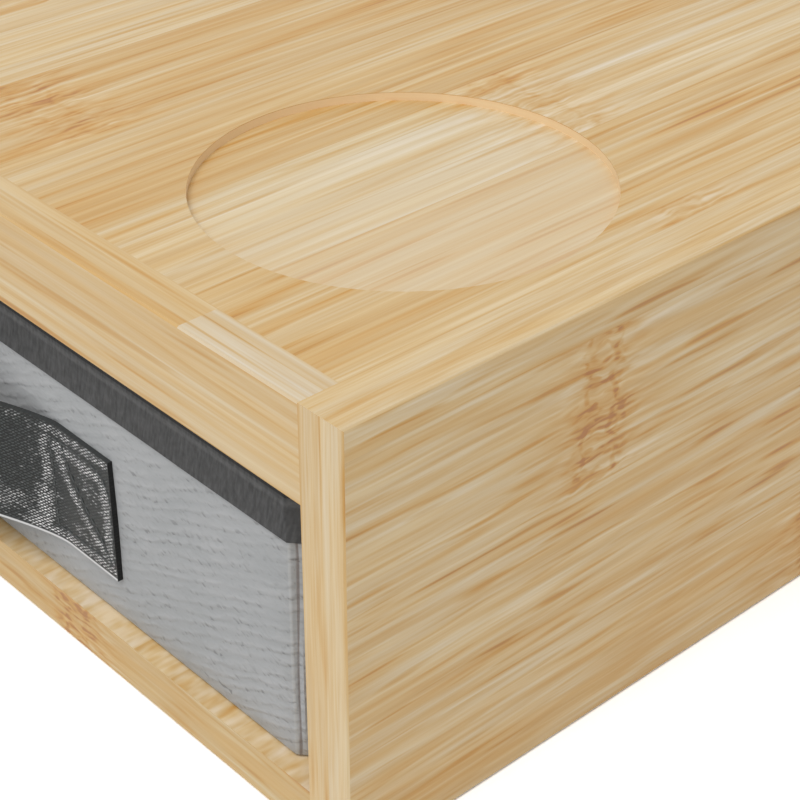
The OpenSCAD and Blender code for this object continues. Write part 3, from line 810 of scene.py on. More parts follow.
def crease_line(tree, place):
    """A mask of the crease, broken into pieces. It is drawn as painted shade and a dip in the
    relief.
    """
    x, y, z = add_node(tree, "SeparateXYZ", [object_mm(tree)]).outputs
    wiggle = stretched_noise(tree, place, 2.2, 2.2, 1, 9.7)
    height = add_node(tree, "Math", [wiggle, 2.6, z], operation="MULTIPLY_ADD")
    height = add_node(tree, "Math", [x, -CREASE_FALL, height], operation="MULTIPLY_ADD")
    # The wiggle has lifted the height by half its swing, and the fall has lowered it
    lies_at = CREASE_Z + 1.3 - CREASE_FALL * sum(CREASE_X) / 2
    line = add_node(tree, "MapRange", [apart(tree, height, lies_at), 0.5, 0.15, 0.0, 1.0])
    line = only_where(tree, line, (x, "GREATER_THAN", CREASE_X[0]),
                      (x, "LESS_THAN", CREASE_X[1]), (y, "LESS_THAN", CREASE_Y))
    pieces = add_node(tree, "MapRange", [stretched_noise(tree, place, 1.6, 1.6, 0, 5.5), 0.42,
                                         0.52, 0.1, 1.0])
    return add_node(tree, "Math", [line, pieces], operation="MULTIPLY")


def paint_corner_light_and_shade(tree, colour):
    """The colour with a painted highlight by the edge and a painted shade in the groove, on the
    front corners' cuts.
    """
    x, y, z = add_node(tree, "SeparateXYZ", [object_mm(tree)]).outputs
    on_cut = add_node(tree, "Math", [x], operation="ABSOLUTE")
    on_cut = add_node(tree, "Math", [on_cut, DRAWER_CORNER - DRAWER_X], operation="ADD")
    on_cut = add_node(tree, "Math", [on_cut, math.sqrt(2)], operation="MULTIPLY")
    groove_at = add_node(tree, "MapRange", [z, *GROOVE_HEIGHTS, *GROOVE_PLACES])
    # First a painted highlight along the cut's edge, then a painted shade in its groove
    for middle, half, soft, code, most in ((0.2, 0.2, 0.4, "BCBDBC", 0.5),
                                           (groove_at, 0.15, 0.35, "786D68", 0.75)):
        share = add_node(tree, "MapRange", [apart(tree, on_cut, middle), half + soft, half, 0.0,
                                            most], interpolation_type="SMOOTHSTEP")
        share = only_where(tree, share, (y, "LESS_THAN", CORNER_Y))
        colour = add_node(tree, "Mix", [share, colour, linear(code)], data_type="RGBA")
    return colour

# %% Pressed grey felt
def pressed_felt(name):
    """Matt polypropylene felt: its relief is what the eye sees, so the colour varies little.
    Painted light makes the ripples' tops paler, and painted shade darkens the dents and the
    crease.
    """
    material, tree = new_material(name)
    place = wall_space(tree)
    ripples, dent = press_cloth(tree, place)
    dent = add_node(tree, "Math", [dent, crease_line(tree, place)], operation="MAXIMUM")
    cloudy = stretched_noise(tree, place, 24, 12, 2, 7.3)
    # The ripples' tops are paler: painted light on the relief, over the cloth's cloudy tone
    level = add_node(tree, "Math", [ripples, 0.35, cloudy], operation="MULTIPLY_ADD")
    shade = add_node(tree, "MapRange", [level, 0.4, 0.9, 0.0, 1.0])
    colour = add_node(tree, "Mix", [shade, linear("A8AAAB"), linear("B3B4B5")], data_type="RGBA")
    # The dents and the crease are darker: painted shade in them
    colour = add_node(tree, "Mix", [add_node(tree, "Math", [dent, 0.55], operation="MULTIPLY"),
                                    colour, linear("6E6E6E")], data_type="RGBA")
    colour = paint_corner_light_and_shade(tree, colour)
    grain = stretched_noise(tree, place, 0.9, 0.5, 1, 6.1)
    scratches = stretched_noise(tree, turned_by(tree, place, DENT_TURN), 2.2, 0.8, 1.5, 8.3)
    relief = ripples
    for layer, weight in ((grain, 0.22), (scratches, 0.9), (dent, -0.40)):
        relief = add_node(tree, "Math", [layer, weight, relief], operation="MULTIPLY_ADD")
    finish_material(tree, colour, 0.9, relief, 0.6, 0.34, {
        "IOR": 1.45, "Specular IOR Level": 0.25, "Sheen Weight": 0.08, "Sheen Roughness": 0.5})
    return material


cloth = pressed_felt("grey_pressed_felt")
print("cloth with", len(cloth.node_tree.nodes), "nodes")

# %% [markdown]
# ## Drawer tub
#
# The tub is two skins of cloth with stiff boards sewn in between. The boards end a little
# before the corners, so the cloth cuts each corner with a slanting face and two creases. Each
# skin starts as a cube without a lid. Its upright edges get that nearly flat bevel, its bottom
# edges a round one, and it is cut into a grid of small faces. The outer skin's faces are moved
# a little: the cloth is slack at the corners, its lower edge isn't quite straight, and the long
# walls have
# faint waves. The skin gets its thickness last. A cloth simulation would add nothing here,
# because the boards hold the cloth flat.

# %% Block with cut corners
# Where the drawer starts and ends in depth, in mm
DRAWER_FRONT, DRAWER_BACK = -170.6, 159.4
# A bevel's profile is round at 0.5 and a flat chamfer at 0.25
NEARLY_FLAT = 0.28


def block(name, half, front, back, low, high):
    """A box between its limits in mm: half its width, and its ends in depth and height."""
    start_fresh()
    bpy.ops.mesh.primitive_cube_add(size=1, location=(
        0, (front + back) / 2 * MM, (low + high) / 2 * MM))
    box = bpy.context.object
    box.name = name
    box.scale = (2 * half * MM, (back - front) * MM, (high - low) * MM)
    bpy.ops.object.transform_apply(location=True, rotation=False, scale=True)
    return box


def corner_cut(inward):
    """Size of the corner's cut on a skin that lies further in, in mm."""
    return DRAWER_CORNER - (2 - math.sqrt(2)) * inward


def upright(edge):
    """Whether an edge stands up."""
    a, b = (v.co for v in edge.verts)
    return abs(a.z - b.z) > 10 * max(abs(a.x - b.x), abs(a.y - b.y))


def cut_corners(obj, cut, segments):
    """Bevels the upright edges by a cut in mm, nearly flat."""
    pick(obj, "EDGE", upright)
    bpy.ops.mesh.bevel(offset=cut * MM, segments=segments, profile=NEARLY_FLAT, affect="EDGES")


def slice_grid(cuts):
    """Cuts the mesh along planes: cuts lists (axis number, places in mm)."""
    for axis, places in cuts:
        for place in places:
            point, normal = [0, 0, 0], [0, 0, 0]
            point[axis], normal[axis] = place * MM, 1
            on_all(bpy.ops.mesh.bisect, plane_co=point, plane_no=normal)

# %% Open tub
# The heights of the foot and the rim of the cloth, in mm
DRAWER_Z, COVER_TOP = 12.3, 80.2
# Rows of faces between the foot and the rim
ROWS = 11


def between(start, end, count):
    """The places that cut a length into equal parts."""
    return [start + (end - start) * i / count for i in range(1, count)]


def open_tub(name, half, front, back, low, high, corner, foot, step):
    """A tub without a lid: cut upright corners, a rounded foot, and a grid of faces."""
    tub = block(name, half, front, back, low, high)
    bpy.ops.object.mode_set(mode="EDIT")
    pick(tub, "FACE", lambda face: face.normal.z > 0.9)
    bpy.ops.mesh.delete(type="FACE")
    cut_corners(tub, corner, 16)
    pick(tub, "EDGE", lambda edge: all(v.co.z < (low + 0.1) * MM for v in edge.verts))
    bpy.ops.mesh.bevel(offset=foot * MM, segments=3, affect="EDGES")
    flat_x, flat_front, flat_back = half - corner, front + corner, back - corner
    slice_grid([(0, between(-flat_x, flat_x, round(2 * flat_x / step))),
                (1, between(flat_front, flat_back, round((flat_back - flat_front) / step))),
                (2, between(low + foot, high, ROWS))])
    bpy.ops.object.mode_set(mode="OBJECT")
    return tub

# %% [markdown]
# The outer skin is slack in places. It stands off its boards in faint waves. On the cut of each
# front corner a soft groove runs down, with a fold of slack cloth beside it, deepest low down.
# The foot isn't quite straight: it lifts a little between the corners, and is rounder at them.

# %% Slack of the cloth
# The cloth is slack between these heights: the binding holds it above, and the foot below
SLACK_LOW, SLACK_HIGH = 14, 66
# The foot lifts only below this height. It lies flat past the first of these distances from
# the drawer's middle, and is rounder past the second one
FOOT_TOP, FOOT_FLAT, FOOT_ROUND = 15, 125, 129.2


def limited(share):
    """The share, kept from 0 to 1."""
    return max(0.0, min(1.0, share))


def slack(place):
    """How far the outer skin stands off its board, in mm."""
    x, y, z = place
    fade = limited((SLACK_HIGH - z) / 4) * limited((z - SLACK_LOW) / 6)
    out = max(0.0, 0.30 * (noise.noise(Vector((x / 42, y / 42, z / 26))) + 0.35))
    on_corner = (abs(x) - (DRAWER_X - DRAWER_CORNER)) * math.sqrt(2)
    if y < DRAWER_FRONT + DRAWER_CORNER + 0.1 and on_corner > 0:
        share = limited((z - GROOVE_HEIGHTS[0]) / (GROOVE_HEIGHTS[1] - GROOVE_HEIGHTS[0]))
        groove_at = GROOVE_PLACES[0] + (GROOVE_PLACES[1] - GROOVE_PLACES[0]) * share
        groove = 0.45 * math.exp(-((on_corner - groove_at) / 0.5) ** 2)
        low_down = limited((50 - z) / 14)
        fold = 0.75 * low_down * math.exp(-((on_corner - groove_at - 1.2) / 0.8) ** 2)
        out += fold - groove
    return out * fade


def foot_lift(place, sideways):
    """How far the skin's foot lifts, in mm."""
    if place.z >= FOOT_TOP:
        return 0.0
    lift = 0.25 * max(0.0, noise.noise(Vector((place.x / 55, place.y / 55, 3.1))) + 0.3)
    lift *= limited((FOOT_FLAT - abs(place.x)) / 20)
    if sideways > 0.05:
        lift += 0.6 * max(0.0, (abs(place.x) - FOOT_ROUND) / 4) ** 2
    return lift


def relax(vertex):
    """The move of one point of the outer skin."""
    place = vertex.co / MM
    level = Vector((vertex.normal.x, vertex.normal.y, 0))
    out = slack(place) if level.length > 0.7 else 0.0
    lift = foot_lift(place, level.length) * MM * min(1, level.length * 2)
    return level.normalized() * out * MM + Vector((0, 0, lift))

# %% Outer and inner skin
# How far the lining lies inside the outer skin, and how thick both skins are, in mm
LINING_IN, SKIN = 4.2, 0.8
BOARDS = ["drawer_front_board", "drawer_back_board", "drawer_left_board", "drawer_right_board"]
cover = open_tub("drawer_outer_skin", DRAWER_X, DRAWER_FRONT, DRAWER_BACK, DRAWER_Z, COVER_TOP,
                 corner_cut(0), foot=0.7, step=6.0)
move_vertices(cover, relax)
apply_modifier(cover, "SOLIDIFY", thickness=SKIN * MM, offset=-1)
finish_piece(cover, "drawer", cloth, smooth=50)
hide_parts("drawer_cover")

lining = open_tub("drawer_lining", DRAWER_X - LINING_IN, DRAWER_FRONT + LINING_IN,
                  DRAWER_BACK - LINING_IN, DRAWER_Z + SKIN, COVER_TOP, corner_cut(LINING_IN),
                  foot=0.6, step=12.0)
apply_modifier(lining, "SOLIDIFY", thickness=SKIN * MM, offset=1)
finish_piece(lining, "drawer", cloth, smooth=50)
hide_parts("drawer_cover")

# %% [markdown]
# ## Binding tape
#
# A charcoal tape is folded over the rim and sewn on, so that it shows outside and inside. It is
# a ribbon with fine ribs across it. It starts as a box without a bottom, whose lid is inset by
# the wall's thickness and pushed down to make the inner leg of the fold. The two rims are
# rounded, because a folded tape has no sharp edge.

# %% Ribbed tape
RIB_TURN = 14
# The height of the ridge's painted highlight, and the two between which the rail's painted
# shadow turns the rim black, in mm
RIDGE_HIGHLIGHT_ROW, SHADOW_LOW, SHADOW_HIGH = 75.3, 76.5, 76.9


def ribbed_tape(name):
    """Grosgrain ribbon, woven with fine ribs. A row where the sewing raises a ridge is paler, a
    painted highlight, and the folded rim is nearly black, a painted shadow of the rail above it."""
    material, tree = new_material(name)
    place = wall_space(tree)
    ribs = stretched_noise(tree, turned_by(tree, place, RIB_TURN), 0.75, 3.6, 1, 3.9)
    fuzz = stretched_noise(tree, place, 1.2, 1.2, 2, 8.8)
    level = add_node(tree, "Math", [fuzz, 0.5, ribs], operation="MULTIPLY_ADD")
    shade = add_node(tree, "MapRange", [level, 0.45, 1.05, 0.0, 1.0])
    height = add_node(tree, "SeparateXYZ", [object_mm(tree)]).outputs[2]
    # A paler row where the sewing raises a ridge: painted highlight
    marks = add_node(tree, "MapRange", [apart(tree, height, RIDGE_HIGHLIGHT_ROW), 1.0, 0.2, 0.0, 0.8],
                     interpolation_type="SMOOTHSTEP")
    marks = add_node(tree, "Math", [marks, fuzz], operation="MULTIPLY")
    # The rim is nearly black: painted shadow of the rail above it
    rail_shadow = add_node(tree, "MapRange", [height, SHADOW_LOW, SHADOW_HIGH, 0.0, 0.92])
    colour = linear("333333")
    for share, code in ((shade, "525252"), (marks, "6A6A6A"), (rail_shadow, "0C0C0C")):
        colour = add_node(tree, "Mix", [share, colour, linear(code)], data_type="RGBA")
    finish_material(tree, colour, 0.75, level, 0.6, 0.2, {
        "IOR": 1.45, "Specular IOR Level": 0.35})
    return material

# %% Folded tape
# The rim and the lower edge of the tape, how far it stands off the drawer, and how far apart
# the outer sides of its two legs are, all in mm
TAPE_TOP, TAPE_LOW, TAPE_OFF, FOLD = 80.5, 66.4, 0.3, 4.8
tape = block("binding_tape", DRAWER_X + TAPE_OFF, DRAWER_FRONT - TAPE_OFF,
             DRAWER_BACK + TAPE_OFF, TAPE_LOW, TAPE_TOP)
bpy.ops.object.mode_set(mode="EDIT")
pick(tape, "FACE", lambda face: face.normal.z < -0.9)
bpy.ops.mesh.delete(type="FACE")
cut_corners(tape, corner_cut(-TAPE_OFF), 2)
pick(tape, "FACE", lambda face: face.normal.z > 0.9)
bpy.ops.mesh.inset(thickness=FOLD * MM, use_even_offset=True)
bpy.ops.mesh.extrude_region_move(
    TRANSFORM_OT_translate={"value": (0, 0, (TAPE_LOW - TAPE_TOP) * MM)})
bpy.ops.mesh.delete(type="FACE")
pick(tape, "EDGE", lambda edge: all(v.co.z > (TAPE_TOP - 0.1) * MM for v in edge.verts)
     and len(edge.link_faces) == 2
     and edge.link_faces[0].normal.dot(edge.link_faces[1].normal) < 0.5)
bpy.ops.mesh.bevel(offset=1.3 * MM, segments=4, affect="EDGES")
slice_grid([(0, range(-128, 129, 8)), (1, range(-160, 153, 8)), (2, (70, 73.5, 77))])
bpy.ops.object.mode_set(mode="OBJECT")


def roll(vertex):
    """A sewn tape rolls a little between its stitches, and less where it lies on the cloth."""
    share = 1 if vertex.co.z > 68 * MM else 0.4
    return vertex.normal * MM * 0.12 * noise.noise(vertex.co / MM / 9) * share


move_vertices(tape, roll)
apply_modifier(tape, "SOLIDIFY", thickness=0.5 * MM, offset=0)
finish_piece(tape, "drawer", ribbed_tape("charcoal_binding"), smooth=50)
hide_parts("drawer_binding")

# %% [markdown]
# ## Webbing pull
#
# The pull is a flat nylon webbing, sewn down at both ends with a box and a slanting seam
# through it, and arched in between so that fingers fit behind it. A grid follows the same
# curve as the solid and gets its thickness afterwards. The grid brings its own UV map, so the
# weave follows the strap round the arch. The yarns are shiny and float over one another in
# slanting rows, with near-black gaps between them. Their gleams are painted highlights: narrow
# ones where the seams pull the webbing in, and more all over the lower side of the arch. The
# seams and the gleams are lists of points, and one function gives the distance to such a line for
# both.

# %% Strap shape
# Half the strap's length, the arch's span and rise, the strap's width and thickness, and the
# height of its middle, all in mm
STRAP_HALF, STRAP_SPAN, STRAP_RISE, STRAP_WIDE, STRAP_THICK, STRAP_MID = (
    70.5, 105.0, 14.0, 31.0, 1.4, 39.35)


def strap_lift(x):
    """Height of the strap's inner face over the drawer's front, in mm."""
    return STRAP_RISE * math.sin(math.pi * limited(x / STRAP_SPAN + 0.5)) ** 1.5


def strap_face(x, across):
    """Place of the strap's inner face in depth; the arch is cupped a little across."""
    lift = strap_lift(x)
    cupped = 0.35 * lift / STRAP_RISE
    return DRAWER_FRONT - (lift - cupped) - cupped * (1 - (2 * across / STRAP_WIDE) ** 2)


start_fresh()
bpy.ops.mesh.primitive_grid_add(x_subdivisions=94, y_subdivisions=16, size=1)
strap = bpy.context.object
strap.name = "webbing_pull"
for vertex in strap.data.vertices:
    x, across = vertex.co.x * 2 * STRAP_HALF, vertex.co.y * STRAP_WIDE
    vertex.co = Vector((x, strap_face(x, across), STRAP_MID + across)) * MM
apply_modifier(strap, "SOLIDIFY", thickness=STRAP_THICK * MM, offset=1)
print("strap from", round(min(v.co.y for v in strap.data.vertices) / MM, 2), "mm")

# %% Seams and gleams of the pull
# Points in mm: how far from the strap's middle, and how far up across it
BOX_SEAM = [(49.3, -11.9), (49.3, 11.9), (63.5, 11.9), (68.0, 10.4), (69.9, 6.5), (69.9, -11.9),
            (49.3, -11.9)]
SLANTING_SEAM = [(52.6, 11.9), (55.4, 5.4), (60.0, -1.0), (65.2, -6.2), (69.0, -11.9)]
# Painted highlights where the yarns catch the light: a line, half its width, and how bright it is
GLEAMS = [
    ([(47.2, 11.0), (47.0, -1.0)], 1.1, 0.85), ([(46.0, -4.0), (44.6, -12.0)], 3.0, 0.95),
    ([(0.0, -11.0), (42.0, -9.5)], 5.0, 0.45), ([(0.0, 13.8), (46.0, 13.8)], 0.7, 0.3),
    ([(50.4, 9.5), (53.8, 2.5), (58.4, -3.4), (62.8, -7.4), (67.3, -11.6)], 1.1, 0.85),
    ([(50.6, 10.2), (66.0, 9.2), (68.3, 6.5), (68.5, -11.6)], 1.1, 0.85),
    ([(47.0, 13.9), (70.3, 14.2)], 0.7, 0.75), ([(40.0, -13.6), (70.3, -13.4)], 0.9, 0.8),
    ([(60.0, 5.0), (66.0, 2.0)], 2.2, 0.42), ([(57.0, -9.5), (63.0, -9.8)], 2.0, 0.4)]


def distance_to(tree, place, start, end):
    """Distance from a place to a line between two points, in mm."""
    start, end = Vector((*start, 0)), Vector((*end, 0))
    run = end - start
    share = add_node(tree, "VectorMath", [place, start], operation="SUBTRACT")
    share = add_node(tree, "VectorMath", [share, run], operation="DOT_PRODUCT").outputs["Value"]
    share = add_node(tree, "MapRange", [share, 0.0, run.length_squared, 0.0, 1.0])
    nearest = add_node(tree, "Mix", [share, start, end], data_type="VECTOR")
    nearest = add_node(tree, "VectorMath", [place, nearest], operation="DISTANCE")
    return nearest.outputs["Value"]


def seam_and_gleams(tree, far, across):
    """How far the slanting seam is, in mm, and how bright the painted gleams are. Both ends of the
    pull look the same, so far is the distance from its middle."""
    place = add_node(tree, "CombineXYZ", [far, across, 0.0])
    # Far more than any seam lies away
    seam, gleam = 99.0, 0.0
    for start, end in zip(SLANTING_SEAM, SLANTING_SEAM[1:]):
        seam = add_node(tree, "Math", [seam, distance_to(tree, place, start, end)],
                        operation="MINIMUM")
    for line, half, strength in GLEAMS:
        for start, end in zip(line, line[1:]):
            lit = add_node(tree, "MapRange", [distance_to(tree, place, start, end), half + 1.3,
                                              0.3 * half, 0.0, strength],
                           interpolation_type="SMOOTHSTEP")
            gleam = add_node(tree, "Math", [gleam, lit], operation="MAXIMUM")
    return seam, gleam

# %% Weave of the webbing
# Two sets of lines that cross, and how many there are per mm along and across the strap
WEAVE_LINES = (0.79, -1.19), (0.34, 1.32)


def weave(tree, place, along, across):
    """The yarns' height from 0 to 1, and a chance value for each. None lies quite in place."""
    uneven = add_node(tree, "Math", [stretched_noise(tree, place, 1.6, 1.2, 1, 3.4), 0.9, -0.45],
                      operation="MULTIPLY_ADD")
    yarn, cell = 1.0, []
    for per_along, per_across in WEAVE_LINES:
        phase = add_node(tree, "Math", [along, per_along, uneven], operation="MULTIPLY_ADD")
        phase = add_node(tree, "Math", [across, per_across, phase], operation="MULTIPLY_ADD")
        cell.append(add_node(tree, "Math", [phase], operation="FLOOR"))
        off = apart(tree, add_node(tree, "Math", [phase], operation="FRACT"), 0.5)
        off = add_node(tree, "MapRange", [off, 0.4, 0.14, 0.0, 1.0],
                       interpolation_type="SMOOTHSTEP")
        yarn = add_node(tree, "Math", [yarn, off], operation="MULTIPLY")
    chance = add_node(tree, "TexWhiteNoise", {
        "Vector": add_node(tree, "CombineXYZ", [*cell, 0.0])}, noise_dimensions="2D")
    return yarn, chance

# %% Nylon webbing
# Where the tabs begin that are sewn down, and where the nearly black ends do, in mm from the
# middle
TABS, DARK_ENDS = (50, 54), (70.2, 70.4)


def nylon_webbing(name):
    """Nylon webbing: shiny yarns on near-black gaps, with painted gleams and painted shade."""
    material, tree = new_material(name)
    uv = add_node(tree, "UVMap")
    place = add_node(tree, "Mapping", {"Vector": uv, "Scale": (2 * STRAP_HALF, STRAP_WIDE, 1),
                                       "Location": (-STRAP_HALF, -STRAP_WIDE / 2, 0)})
    along, across, _ = add_node(tree, "SeparateXYZ", [place]).outputs
    far = add_node(tree, "Math", [along], operation="ABSOLUTE")
    seam, gleam = seam_and_gleams(tree, far, across)
    yarn, chance = weave(tree, place, along, across)

    patches = stretched_noise(tree, place, 3.5, 2.2, 1.8, 1.9)
    # The yarns are nearly white where gleams, patches and each yarn's chance add up: painted
    # highlights
    lit = add_node(tree, "Math", [chance, 0.6, gleam], operation="MULTIPLY_ADD")
    lit = add_node(tree, "Math", [patches, 1.3, lit], operation="MULTIPLY_ADD")
    lit = add_node(tree, "MapRange", [lit, 1.2, 2.05, 0.0, 1.0])
    lit = add_node(tree, "Math", [lit, yarn], operation="MULTIPLY")
    # Flat stretches of yarn, most on the sewn tabs, are darker: painted shade where no gleam falls
    shaded = stretched_noise(tree, place, 2.4, 1.3, 1.5, 6.4)
    shaded = add_node(tree, "MapRange", [shaded, 0.5, 0.38, 0.0, 0.8])
    on_tab = add_node(tree, "MapRange", [far, *TABS, 0.0, 0.5])
    shaded = add_node(tree, "Math", [shaded, on_tab], operation="MAXIMUM")
    dull = add_node(tree, "Mix", [shaded, linear("474C4B"), linear("222524")], data_type="RGBA")

    # The selvedge: dark above; a pale line along the lower edge is a painted highlight; black at
    # the cut end
    selvedge = add_node(tree, "Math", [facing(tree)[2], 0.6], operation="GREATER_THAN")
    on_seam = add_node(tree, "MapRange", [seam, 0.42, 0.15, 0.0, 0.85])
    low_edge, edge_highlight = (add_node(tree, "MapRange", [across, start, end, 0.0, 1.0])
                        for start, end in ((-14.5, -14.7), (-14.85, -15.0)))
    dark_end = add_node(tree, "MapRange", [far, *DARK_ENDS, 0.0, 1.0])
    colour = add_node(tree, "Mix", [yarn, linear("0E100F"), dull], data_type="RGBA")
    for share, code in ((lit, "FAFAFA"), (on_seam, "1C1F1E"), (selvedge, "3A3C3C"),
                        (low_edge, "2A2C2C"), (edge_highlight, "DADADA"), (dark_end, "1A1A1A")):
        colour = add_node(tree, "Mix", [share, colour, linear(code)], data_type="RGBA")

    pinch = add_node(tree, "MapRange", [seam, 0.0, 1.2, 0.0, 1.0], interpolation_type="SMOOTHSTEP")
    coarse = add_node(tree, "Bump", {"Strength": 0.5, "Distance": 0.0003, "Height": pinch})
    finish_material(tree, colour, 0.5, yarn, 0.4, 0.08, {
        "IOR": 1.53, "Specular IOR Level": 0.22}, under=coarse)
    return material


finish_piece(strap, "drawer", nylon_webbing("black_nylon_webbing"), smooth=40)
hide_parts("drawer_handle")

# %% [markdown]
# The seams at each end are sewn with thick thread. One stitch is modelled: a short bar,
# pinched at both ends where it dives into the webbing. It is copied along the seams.

# %% One stitch, copied along the seams
# From one stitch to the next, the gap between them, and the thread's radius, in mm
STITCH, GAP, THREAD_R = 2.6, 0.7, 0.2
# How deep a stitch's ends dive, and how far it stands off the strap's inner face, in mm
DIVE, STITCH_OFF = 0.16, 1.45
start_fresh()
bpy.ops.mesh.primitive_cylinder_add(vertices=6, radius=THREAD_R * MM, depth=(STITCH - GAP) * MM)
stitch = bpy.context.object
bpy.ops.object.mode_set(mode="EDIT")
pick(stitch, "EDGE", upright)
bpy.ops.mesh.subdivide(number_cuts=2)
bpy.ops.object.mode_set(mode="OBJECT")
for vertex in stitch.data.vertices:
    share = abs(vertex.co.z) / ((STITCH - GAP) / 2 * MM)
    vertex.co.y += DIVE * MM * share ** 2
    vertex.co.x *= 1 - 0.35 * share ** 2
seams = [(sign * xa, za, sign * xb, zb) for sign in (-1, 1) for line in (BOX_SEAM, SLANTING_SEAM)
         for (xa, za), (xb, zb) in zip(line, line[1:])]
stitches = []
for xa, za, xb, zb in seams:
    count = max(1, round(math.hypot(xb - xa, zb - za) / STITCH))
    for i in range(count):
        share = (i + 0.5) / count
        x, across = xa + (xb - xa) * share, za + (zb - za) * share
        copy = copy_piece(stitch)
        copy.location = Vector((x, strap_face(x, across) - STITCH_OFF, STRAP_MID + across)) * MM
        copy.rotation_euler = (0, math.atan2(xb - xa, zb - za), 0)
        stitches.append(copy)
bpy.data.objects.remove(stitch)
thread = join(stitches, "pull_stitches")


def spun_thread(name):
    """Polyester thread: a fine twist and a soft gloss."""
    material, tree = new_material(name)
    twist = add_node(tree, "TexWave", {"Vector": object_mm(tree), "Scale": 1.1,
                                       "Distortion": 0.6}, bands_direction="DIAGONAL")
    finish_material(tree, linear("454848"), 0.5, twist, 0.4, 0.08, {"IOR": 1.5})
    return material


finish_piece(thread, "drawer", spun_thread("dark_grey_thread"))

# %% [markdown]
# ## Boards of the drawer
#
# The floor board is covered with the same cloth, so its edges are soft. The four wall boards
# are bare grey board, made from waste paper: flat, matt and full of small fibres.

# %% Covered floor board
# The board's underside and top, and how far it lies inside the drawer's outer skin, in mm
FLOOR_LOW, FLOOR_HIGH, FLOOR_IN = 13.1, 16.1, 4.5
base = block("covered_floor_board", DRAWER_X - FLOOR_IN, DRAWER_FRONT + FLOOR_IN,
             DRAWER_BACK - FLOOR_IN, FLOOR_LOW, FLOOR_HIGH)
bpy.ops.object.mode_set(mode="EDIT")
cut_corners(base, corner_cut(FLOOR_IN), 4)
pick(base, "EDGE", lambda edge: all(v.co.z > (FLOOR_HIGH - 0.1) * MM for v in edge.verts))
bpy.ops.mesh.bevel(offset=1.0 * MM, segments=4, affect="EDGES")
slice_grid([(0, range(-120, 130, 15)), (1, range(-160, 150, 15))])
bpy.ops.object.mode_set(mode="OBJECT")
for vertex in base.data.vertices:
    if vertex.co.z > 15.5 * MM and abs(vertex.co.x) < 125 * MM:
        vertex.co.z -= 0.35 * MM * (0.5 + noise.noise(vertex.co / MM / 40))
finish_piece(base, "drawer", cloth, smooth=50)
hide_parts("drawer_base_board")

# %% Grey board
def grey_board(name):
    """Board of waste paper: matt, with dark and pale fibres."""
    material, tree = new_material(name)
    in_mm = object_mm(tree)
    fibres = stretched_noise(tree, in_mm, 1.2, 0.8, 2, 2.0)
    flecks = stretched_noise(tree, in_mm, 3.5, 2.5, 1, 5.0)
    level = add_node(tree, "Math", [flecks, 0.6, fibres], operation="MULTIPLY_ADD")
    shade = add_node(tree, "MapRange", [level, 0.55, 1.05, 0.0, 1.0])
    colour = add_node(tree, "Mix", [shade, linear("756C60"), linear("9A9184")], data_type="RGBA")
    finish_material(tree, colour, 0.92, fibres, 0.3, 0.1, {"IOR": 1.45})
    return material


board = grey_board("grey_waste_board")
for node_name in BOARDS:
    dress(node_name, board)

# %% [markdown]
# ## Finishes of the clamps
#
# The brackets are mild steel with a black powder coat. The powder melts in an oven and flows
# out to a fine orange peel, a millimetre from dimple to dimple, with a soft gloss. Screws, nuts
# and pressure plates are zinc plated: a bright grey metal, slightly cloudy, with fine turning
# marks. The knobs are moulded nylon with a spark-eroded grain. Liners and pads are black rubber.

# %% Powder-coated steel
def powder_coat(name):
    """Black powder coat on steel: a fine orange peel and a few paler flecks."""
    material, tree = new_material(name)
    in_mm = object_mm(tree)
    peel = add_node(tree, "TexNoise", {"Vector": in_mm, "Scale": 0.9, "Detail": 2,
                                       "Roughness": 0.45})
    flecks = add_node(tree, "TexNoise", {"Vector": in_mm, "Scale": 4.0, "Detail": 0})
    fleck = add_node(tree, "MapRange", [flecks, 0.66, 0.74, 0.0, 1.0])
    colour = add_node(tree, "Mix", [fleck, linear("222325"), linear("3A3B3D")], data_type="RGBA")
    gloss = add_node(tree, "MapRange", [peel, 0.3, 0.7, 0.36, 0.50])
    finish_material(tree, colour, gloss, peel, 0.35, 0.12, {"IOR": 1.5})
    return material

# %% Plated and turned metal
def turned_metal(name, dark, light, rough):
    """A bright metal: clouds in its surface, and fine rings from turning round the X axis."""
    material, tree = new_material(name)
    in_mm = object_mm(tree)
    clouds = add_node(tree, "TexNoise", {"Vector": in_mm, "Scale": 0.22, "Detail": 3,
                                         "Roughness": 0.6})
    rings = add_node(tree, "TexWave", {"Vector": in_mm, "Scale": 0.6, "Distortion": 1.5,
                                       "Detail": 2, "Detail Scale": 1.5}, bands_direction="X")
    shade = add_node(tree, "MapRange", [clouds, 0.35, 0.65, 0.0, 1.0])
    colour = add_node(tree, "Mix", [shade, linear(dark), linear(light)], data_type="RGBA")
    gloss = add_node(tree, "MapRange", [clouds, 0.3, 0.7, rough - 0.05, rough + 0.08])
    finish_material(tree, colour, gloss, rings, 0.15, 0.03, {"Metallic": 1.0})
    return material

